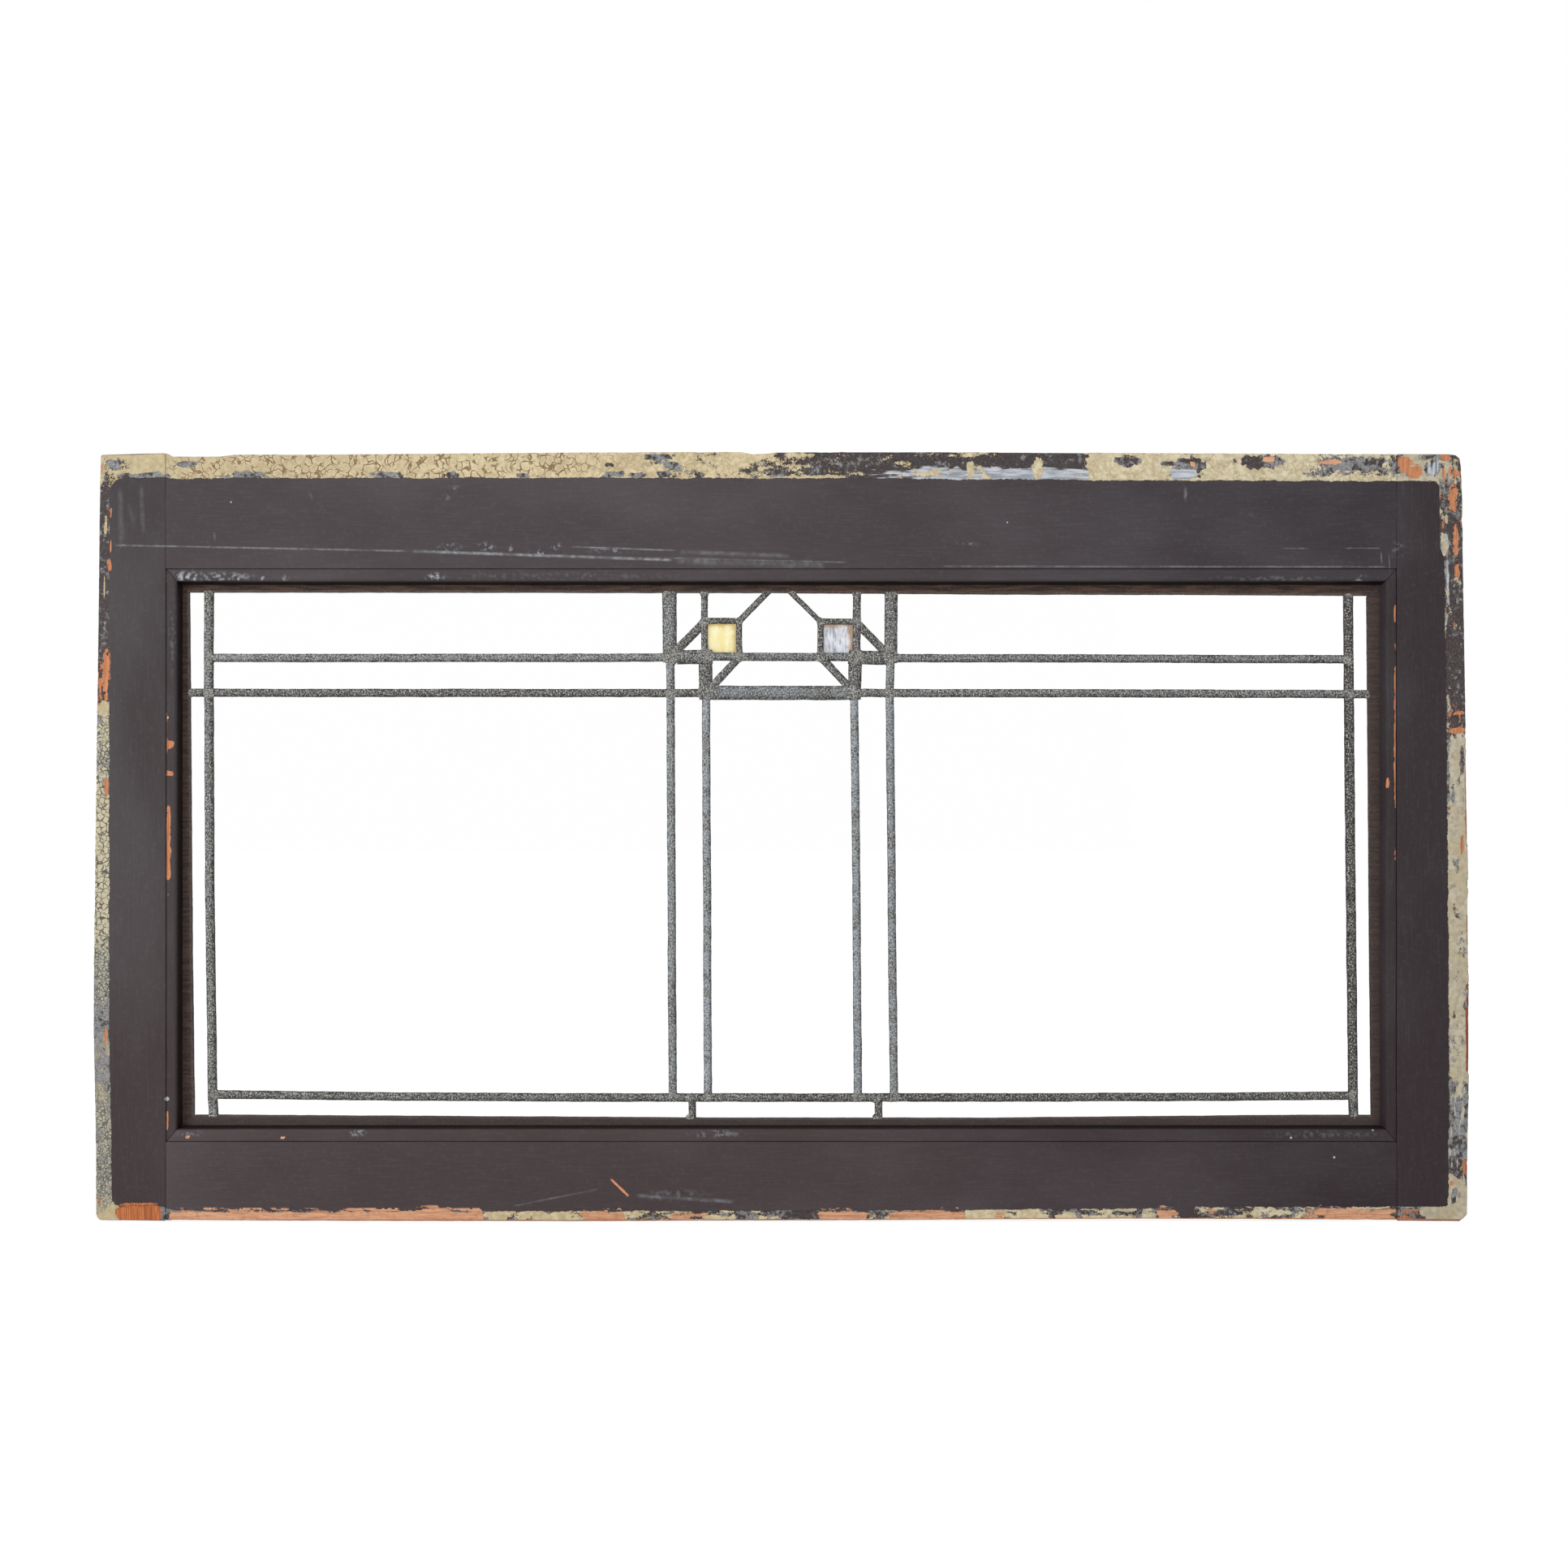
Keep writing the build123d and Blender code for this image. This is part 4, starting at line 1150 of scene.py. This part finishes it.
def came_run(name, start, end, width, tones, crowned=True, trims=(0, 0), wobble=1.0):
    """One straight came between two points of the panel, a little uneven."""
    start, end = racked(start), racked(end)
    direction = (end - start) / np.linalg.norm(end - start)
    inward = (-direction[1], direction[0])
    section = came_section(width, crowned)
    rings, into = bar(start, end, inward, section, even(math.dist(start, end), 2.5), trims)
    rows, columns = rings.shape[:2]
    spine = np.repeat(rings.mean(axis=1, keepdims=True), columns, axis=1).reshape(-1, 3)
    points = rings.reshape(-1, 3)
    across = np.broadcast_to(section[:, 0] / (width / 2), (rows, columns)).ravel()
    sway = 0.2 * noise(spine, 70, 91) + 0.12 * noise(spine, 16, 92)
    swell = 0.05 * noise(spine + 300 * np.sign(across)[:, None], 22, 93) * width / 2
    swell += 0.16 * noise(spine + 300 * np.sign(across)[:, None], 5, 94)
    shift = wobble * (sway + across * swell)
    points = points + np.array([inward[0], 0, inward[1]]) * shift[:, None]
    pits = 0.08 * (1 + noise(points, 3, 95)) + 0.05 * (1 + noise(points, 12, 96))
    points = settled(points + into.reshape(-1, 3) * pits[:, None])
    bloom_and_highlight, shade, stain_and_shade = tones
    # On a border came the pale share is a painted highlight along its inner edge only.
    if not crowned:
        bloom_and_highlight = bloom_and_highlight * smooth_step(-across, 0.7, 0.97)
    # Painted shade: dark flange edges, and a darker lower and right side, where the light from the upper
    # left falls off.
    shaded_side = across * np.sign(inward[0] - inward[1])
    edge = np.maximum(0.9 * smooth_step(np.abs(across), 0.68, 0.95), smooth_step(shaded_side, 0.15, 0.9))
    return loft(name, points.reshape(rings.shape), metal_state(len(points), bloom_and_highlight, shade, stain_and_shade, 0, edge))


def lattice_runs():
    """Every came of the lattice: node, then start, end, width, bluish patina and shade of each length."""
    head, foot = SIGHT_HEAD + 3, SIGHT_FOOT - 3
    left, right = -1, 1

    def one(side, ends, width, bloom_and_highlight, shade):
        (x1, z1), (x2, z2) = ends
        return (side * x1, z1), (side * x2, z2), width, (bloom_and_highlight, shade, 0)

    def pair(ends, left_look, right_look):
        return [one(left, ends, *left_look), one(right, ends, *right_look)]

    def centre(height, width, bloom_and_highlight, shade):
        ends = ((-CENTRE_X + 6, height), (CENTRE_X - 6, height))
        return [one(right, ends, width, bloom_and_highlight, shade)]

    def short(x, width):
        return one(right, ((x, BOTTOM_BAR - 3), (x, foot)), width, 0, 0.8)

    outer = ((OUTER_X, head), (OUTER_X, foot))
    foot_left = ((-OUTER_X + 3, BOTTOM_BAR), (0, BOTTOM_BAR))
    foot_right = ((-1, BOTTOM_BAR), (OUTER_X - 3, BOTTOM_BAR))
    side_head = ((SIDE_X, head), (SIDE_X, UPPER_BAR - 4.4))
    wide_piece = ((SIDE_X - 6, UPPER_BAR), (CENTRE_X - WIDE / 2, UPPER_BAR))
    middle = ((CENTRE_X, UPPER_BAR - 6), (CENTRE_X, SECOND_BAR - 5.8))
    centre_head = ((CENTRE_X, head), (CENTRE_X, UPPER_BAR + 6))
    side_foot = ((SIDE_X, UPPER_BAR - 6), (SIDE_X, BOTTOM_BAR + 3))
    centre_foot = ((CENTRE_X, SECOND_BAR - 6), (CENTRE_X, BOTTOM_BAR + 3))
    upper = ((SIDE_X + 6, UPPER_BAR), (OUTER_X - 3, UPPER_BAR))
    second = ((CENTRE_X + 6, SECOND_BAR), (SIGHT_X + 3, SECOND_BAR))
    square_head = ((CENTRE_X - 3, SQUARE_TOP), (SQUARE_X - 2.7, SQUARE_TOP))
    square_side = ((SQUARE_X, SQUARE_TOP + 2.7), (SQUARE_X, UPPER_BAR + 3))
    upper_diagonal = ((UPPER_DIAGONAL_X + 5, FRAME_HEAD - 5), (SQUARE_X - 1, SQUARE_TOP + 1))
    middle_diagonal = ((CENTRE_X + 1, MIDDLE_DIAGONAL_TOP - 1), (SIDE_X - 1, UPPER_BAR + 1))
    lower_diagonal = ((SQUARE_X + 3, UPPER_BAR - 3), (CENTRE_X - 4, SECOND_BAR + 4))
    return {
        "outer_uprights": pair(outer, (7.8, 0.1, 0.25), (8.4, 0, 0.9)),
        "bottom_bar": [one(right, foot_left, NARROW, 0.1, 0.5), one(right, foot_right, NARROW, 0.05, 0.8)],
        "side_upright_heads": pair(side_head, (12.8, 0.3, 0.2), (11.8, 0.15, 0.35)),
        "upper_bar_wide_pieces": pair(wide_piece, (12.6, 0.1, 0.4), (12.2, 0.05, 0.5)),
        "centre_upright_middles": pair(middle, (12.2, 0, 0.6), (12.0, 0, 0.6)),
        "wide_centre_bar": centre(SECOND_BAR, 12.6, 0.65, 0.5),
        "centre_upright_heads": pair(centre_head, (6.2, 0.1, 0.6), (7.2, 0.1, 0.6)),
        "left_side_upright": [one(left, side_foot, NARROW, 0.55, 0.1)],
        "right_side_upright": [one(right, side_foot, NARROW, 0.65, 0.1)],
        "left_centre_upright": [one(left, centre_foot, NARROW, 0.85, 0)],
        "right_centre_upright": [one(right, centre_foot, NARROW, 0.8, 0.05)],
        "upper_bar_left": [one(left, upper, NARROW, 0.35, 0.15)],
        "upper_bar_right": [one(right, upper, NARROW, 0.4, 0.5)],
        "upper_bar_centre": centre(UPPER_BAR, NARROW, 0.4, 0.45),
        "second_bar_left": [one(left, second, NARROW, 0.05, 0.6)],
        "second_bar_right": [one(right, second, NARROW, 0.15, 0.35)],
        "short_uprights": [short(-SHORT_X + 1.6, 6.6), short(SHORT_X + 2.2, 6.8)],
        "square_cames": [
            one(side, part, 5.6, 0, 0.7) for side in (left, right) for part in (square_head, square_side)
        ],
        "upper_diagonals": pair(upper_diagonal, (5.7, 0.1, 0.5), (4.6, 0, 0.6)),
        "middle_diagonals": pair(middle_diagonal, (8.0, 0, 0.6), (7.6, 0, 0.6)),
        "lower_diagonals": pair(lower_diagonal, (7.0, 0.1, 0.5), (6.8, 0, 0.5)),
    }


def build_cames(material, border_material):
    """The lattice and the four border cames."""
    for node, lengths in lattice_runs().items():
        mesh = joined(node, [came_run(node, *length) for length in lengths])
        add_piece(node + "_metal", mesh, material, [node])
    # Each border came: its painted highlight at the inner edge, no shade, and its share of painted stop
    # shadow and brown stain.
    sides = {
        "top": ((-FRAME_X, FRAME_HEAD), (FRAME_X, FRAME_HEAD), (0.75, 0, 1)),
        "bottom": ((FRAME_X, FRAME_FOOT), (-FRAME_X, FRAME_FOOT), (0.45, 0, 0.25)),
        "left": ((-FRAME_X, FRAME_FOOT), (-FRAME_X, FRAME_HEAD), (0.8, 0, 0.8)),
        "right": ((FRAME_X, FRAME_HEAD), (FRAME_X, FRAME_FOOT), (0.1, 0, 0.5)),
    }
    mitre = -came_section(BORDER, False)[:, 0]
    for side, (start, end, tones) in sides.items():
        node = "border_came_" + side
        mesh = came_run(node, start, end, BORDER, tones, False, (mitre, mitre), 0.5)
        add_piece(node + "_metal", mesh, border_material, [node])


def joints():
    """The soldered joints of the right-hand half of the lattice.

    Each has its place, its reach, and the direction in degrees and half width of each came there.
    """
    thin, thick, small, border = NARROW / 2, 6.2, 2.8, 0.8
    east, north, west, south = 0, 90, 180, 270
    tee = (east, border), (west, border)
    upright = (north, thin), (south, thin)
    level = (west, thin), (east, thin)
    head, foot = SIGHT_HEAD + 1, SIGHT_FOOT - 1
    return (
        ((OUTER_X, head), 4.6, ((south, thin), *tee)),
        ((OUTER_X, foot), 4.6, ((north, thin), *tee)),
        ((OUTER_X, UPPER_BAR), 5.4, (*upright, (west, thin))),
        ((OUTER_X, SECOND_BAR), 5.4, (*upright, *level)),
        ((OUTER_X, BOTTOM_BAR), 5.8, (*upright, (west, thin))),
        ((SIGHT_X + 1, SECOND_BAR), 4.4, ((west, thin), (north, border), (south, border))),
        ((SIDE_X, head), 7, ((south, thick), *tee)),
        ((SIDE_X, UPPER_BAR), 8, ((north, thick), (west, thick), (east, thin), (south, thin), (135, 4))),
        ((SIDE_X, SECOND_BAR), 5.2, (*upright, *level)),
        ((SIDE_X, BOTTOM_BAR), 5, ((north, thin), *level)),
        ((CENTRE_X, head), 4.4, ((south, thin), *tee)),
        ((CENTRE_X, UPPER_BAR), 7.4, ((north, thin), (east, thick), (west, thin), (south, thick))),
        (
            (CENTRE_X, SECOND_BAR), 7.4,
            ((north, thick), (west, thick), (east, thin), (south, thin), (135, 3.8)),
        ),
        ((CENTRE_X, BOTTOM_BAR), 5, ((north, thin), *level)),
        ((SHORT_X + 0.5, BOTTOM_BAR), 4.6, ((south, 3.3), *level)),
        ((SHORT_X + 0.5, foot), 4, ((north, 3.3), *tee)),
        ((SQUARE_X, SQUARE_TOP), 3.8, ((east, small), (south, small), (135, 2.6))),
        ((SQUARE_X, UPPER_BAR), 5, ((north, small), (east, thin), (west, thin), (315, 3.6))),
        ((CENTRE_X, SQUARE_TOP), 4.4, (*upright, (west, small))),
        ((CENTRE_X, MIDDLE_DIAGONAL_TOP), 4.6, (*upright, (315, 4))),
        ((UPPER_DIAGONAL_X + 9, head), 3.6, ((315, 2.6), *tee)),
    )


def solder_dome(place, reach, arms, seed, facing):
    """A lump of solder that fills the corners between the cames, on the front or on the back."""
    rng = np.random.default_rng(seed)
    steps = 48
    angles = np.linspace(0, 2 * np.pi, steps, endpoint=False)
    radius = np.full(steps, 1.5)
    armed = np.zeros(steps)
    for degrees, half in arms:
        turn = np.angle(np.exp(1j * (angles - math.radians(degrees))))
        edge = (half + 0.1) / np.maximum(np.abs(np.sin(turn)), 1e-3)
        length = reach * rng.uniform(0.85, 1.15)
        ray = np.where(np.abs(turn) < np.pi / 2, np.minimum(edge, length), 0)
        armed = np.maximum(armed, np.where((ray > 0) & (edge > length), 1.0, 0.0))
        radius = np.maximum(radius, ray)
    for _ in range(2):
        radius, armed = (
            0.25 * np.roll(value, 1) + 0.5 * value + 0.25 * np.roll(value, -1) for value in (radius, armed)
        )
    radius += 0.12 * rng.standard_normal(steps)
    floor = GLASS / 2 - 0.1
    top = CAME_DEPTH / 2 + 0.1 + 0.25 * rng.random()
    low = floor + 0.35 + (CAME_DEPTH / 2 - floor - 0.75) * armed
    centre = racked(place)
    rings = []
    for share, height in ((0.12, 1.0), (0.35, 0.96), (0.6, 0.8), (0.82, 0.45), (0.95, 0.12), (1.0, -1.0)):
        level = low + (top - low) * height if height > 0 else np.full(steps, floor)
        across = centre[0] + radius * share * np.cos(angles)
        up = centre[1] + radius * share * np.sin(angles)
        rings.append(np.stack([across, PANEL_Y + facing * level, up], axis=1))
    points = np.array(rings)
    flat = points.reshape(-1, 3)
    lumps = facing * 0.14 * noise(flat, 2.5, seed)
    flat[:, 1] += np.where(np.abs(flat[:, 1] - PANEL_Y) > floor + 0.1, lumps, 0)
    # Painted shade round the foot of each lump, where it meets the came.
    edge = np.repeat((0, 0, 0, 0, 0.3, 0.9), steps)
    state = metal_state(len(flat), 0.1, 0.35, 0, rng.uniform(0.2, 1.0), edge)
    return loft("solder", settled(flat).reshape(points.shape), state)


def build_solder(material):
    """The soldered joints on both faces of the panel, as one piece."""
    meshes = []
    for n, (place, reach, arms) in enumerate(joints()):
        twin = (-place[0], place[1]), reach, tuple((180 - degrees, half) for degrees, half in arms)
        for m, joint in enumerate((twin, (place, reach, arms))):
            for facing in (-1, 1):
                meshes.append(solder_dome(*joint, 100 + 4 * n + 2 * m + (facing > 0), facing))
    add_piece("solder_joints", joined("solder", meshes), material)


# Coloured squares


def build_coloured_square(node, material, slot, seed):
    """A small square of sheet glass with an uneven face."""
    low, high = extent(node)
    corners = np.array([(low[0], low[2]), (high[0], low[2]), (high[0], high[2]), (low[0], high[2])])
    steps = np.arange(12) / 12
    outline = np.array([a + (b - a) * t for a, b in zip(corners, np.roll(corners, -1, 0)) for t in steps])
    middle = outline.mean(axis=0)
    shares = (0.04, 0.2, 0.4, 0.6, 0.8, 0.95, 1.0)
    levels = [(s, low[1] + 0.25) for s in shares] + [(s, high[1] - 0.25) for s in reversed(shares)]
    rings = []
    for share, y in levels:
        ring = middle + (outline - middle) * share
        rings.append(np.stack([ring[:, 0], np.full(len(ring), y), ring[:, 1]], axis=1))
    points = np.array(rings)
    flat = points.reshape(-1, 3)
    flat[:, 1] += 0.22 * noise(flat * (1, 0, 1), 6, seed)
    points = settled(flat).reshape(points.shape)
    add_piece(slot + "_sheet", loft(node, points), material, [node])


# Setting: camera, light, floor

CAMERA_PLACE = (2.5, -2017.5, 350.0)
VIEW_MIDDLE = 389.5
VIEW_WIDTH = 1393.5
SENSOR = 36.0
WHITE = (1, 1, 1, 1)
WORLD_LIGHT = 0.62
FLOOR_HALF = 30.0  # metres


def build_camera():
    """A level camera straight in front, shifted up so that its lines stay parallel."""
    data = bpy.data.cameras.new("camera")
    camera = placed("camera", data)
    data.sensor_width = SENSOR
    data.lens = SENSOR * (FRONT - CAMERA_PLACE[1]) / VIEW_WIDTH
    data.shift_y = (VIEW_MIDDLE - CAMERA_PLACE[2]) / VIEW_WIDTH
    data.clip_start, data.clip_end = 0.05, 100
    camera.location = [value * MM for value in CAMERA_PLACE]
    camera.rotation_euler = (math.radians(90), 0, 0)
    bpy.context.scene.camera = camera
    bpy.context.scene.view_settings.view_transform = "Standard"


def build_world():
    """White to the camera, to gloss and through glass, and a softer light on the object."""
    world = bpy.data.worlds.new("studio")
    bpy.context.scene.world = world
    sh = Shader(world, "ShaderNodeOutputWorld")
    light, white = (
        sh.node("ShaderNodeBackground", {"Color": WHITE, "Strength": strength}).outputs[0]
        for strength in (WORLD_LIGHT, 1.0)
    )
    sh.show(sh.blend(sh.seen(), light, white))


# Lamps: name, place, size and power
LAMPS = (
    ("key", (-2600, -2500, 1500), 1600, 62),
    ("fill", (1800, -3000, 1400), 2400, 20),
)


def build_lamps():
    """Two soft lamps in front, the stronger one on the left."""
    target = Vector((0, 0, HEIGHT / 2))
    for name, place, size, power in LAMPS:
        data = bpy.data.lights.new(name, "AREA")
        data.size = size * MM
        data.energy = power
        lamp = placed(name, data)
        lamp.location = Vector(place) * MM
        lamp.rotation_euler = (target - Vector(place)).to_track_quat("-Z", "Y").to_euler()


def build_floor():
    """A pale floor that keeps a faint shadow of the sash."""
    sh = new_material("pale_floor")
    tone = sh.tones(sh.noise(400, 2), 0.3, 0.7, (252, 252, 252), (255, 255, 255))
    lit = sh.node("ShaderNodeBsdfDiffuse", {"Color": tone}).outputs[0]
    white = sh.node("ShaderNodeEmission", {"Color": tone, "Strength": 1.15}).outputs[0]
    material = sh.show(sh.blend(sh.times(sh.seen(), 0.8), lit, white))
    mesh = bpy.data.meshes.new("floor")
    corners = ((-1, -1), (1, -1), (1, 1), (-1, 1))
    mesh.from_pydata([(x * FLOOR_HALF, y * FLOOR_HALF, 0) for x, y in corners], [], [(0, 1, 2, 3)])
    mesh.materials.append(material)
    floor = placed("floor", mesh)


CLEAR_NODES = (
    "edge_panes", "top_side_panes", "top_centre_panes", "second_row_panes", "left_main_pane",
    "right_main_pane", "centre_main_panes", "bottom_row_panes",
)


def finish_kept_nodes(materials):
    """Materials for the nodes that are shown as packed."""
    for node, (material, slot) in materials.items():
        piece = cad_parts[node]
        piece.data.materials.clear()
        piece.data.materials.append(material)


def build():
    """The whole scene."""
    # Dark paint tones: the lit one on the left, then the darker painted-shade one on the right.
    rail_dark, stile_dark = ((67, 60, 62), (48, 42, 46)), ((60, 54, 55), (49, 42, 45))
    rail_wood, stile_wood = ((182, 130, 98), (222, 172, 138)), ((166, 106, 74), (206, 140, 100))
    rail_paint = painted_wood("painted_wood_rails", True, *rail_dark, rail_wood)
    stile_paint = painted_wood("painted_wood_stiles", False, *stile_dark, stile_wood)
    build_sash(rail_paint, stile_paint)
    build_stops((stile_paint, rail_paint))
    metal = came_metal()
    build_cames(metal, border_metal())
    build_solder(metal)
    glass = clear_glass()
    yellow_tones = (255, 254, 232), (253, 247, 204), (246, 234, 182), (226, 200, 122)
    pale_tones = (246, 247, 252), (224, 226, 232), (158, 163, 172), (200, 164, 122)
    yellow = coloured_glass("yellow_glass", yellow_tones, 3.6, extent("yellow_square_glass"))
    pale = coloured_glass("pale_glass", pale_tones, 2.8, extent("pale_square_glass"))
    build_coloured_square("yellow_square_glass", yellow, "yellow_glass", 201)
    build_coloured_square("pale_square_glass", pale, "pale_glass", 202)
    kept = {node: (glass, "clear_glass") for node in CLEAR_NODES}
    kept["setting_blocks"] = (bare_wood(), "bare_wood")
    finish_kept_nodes(kept)
    build_floor()
    build_world()
    build_lamps()
    build_camera()


build()
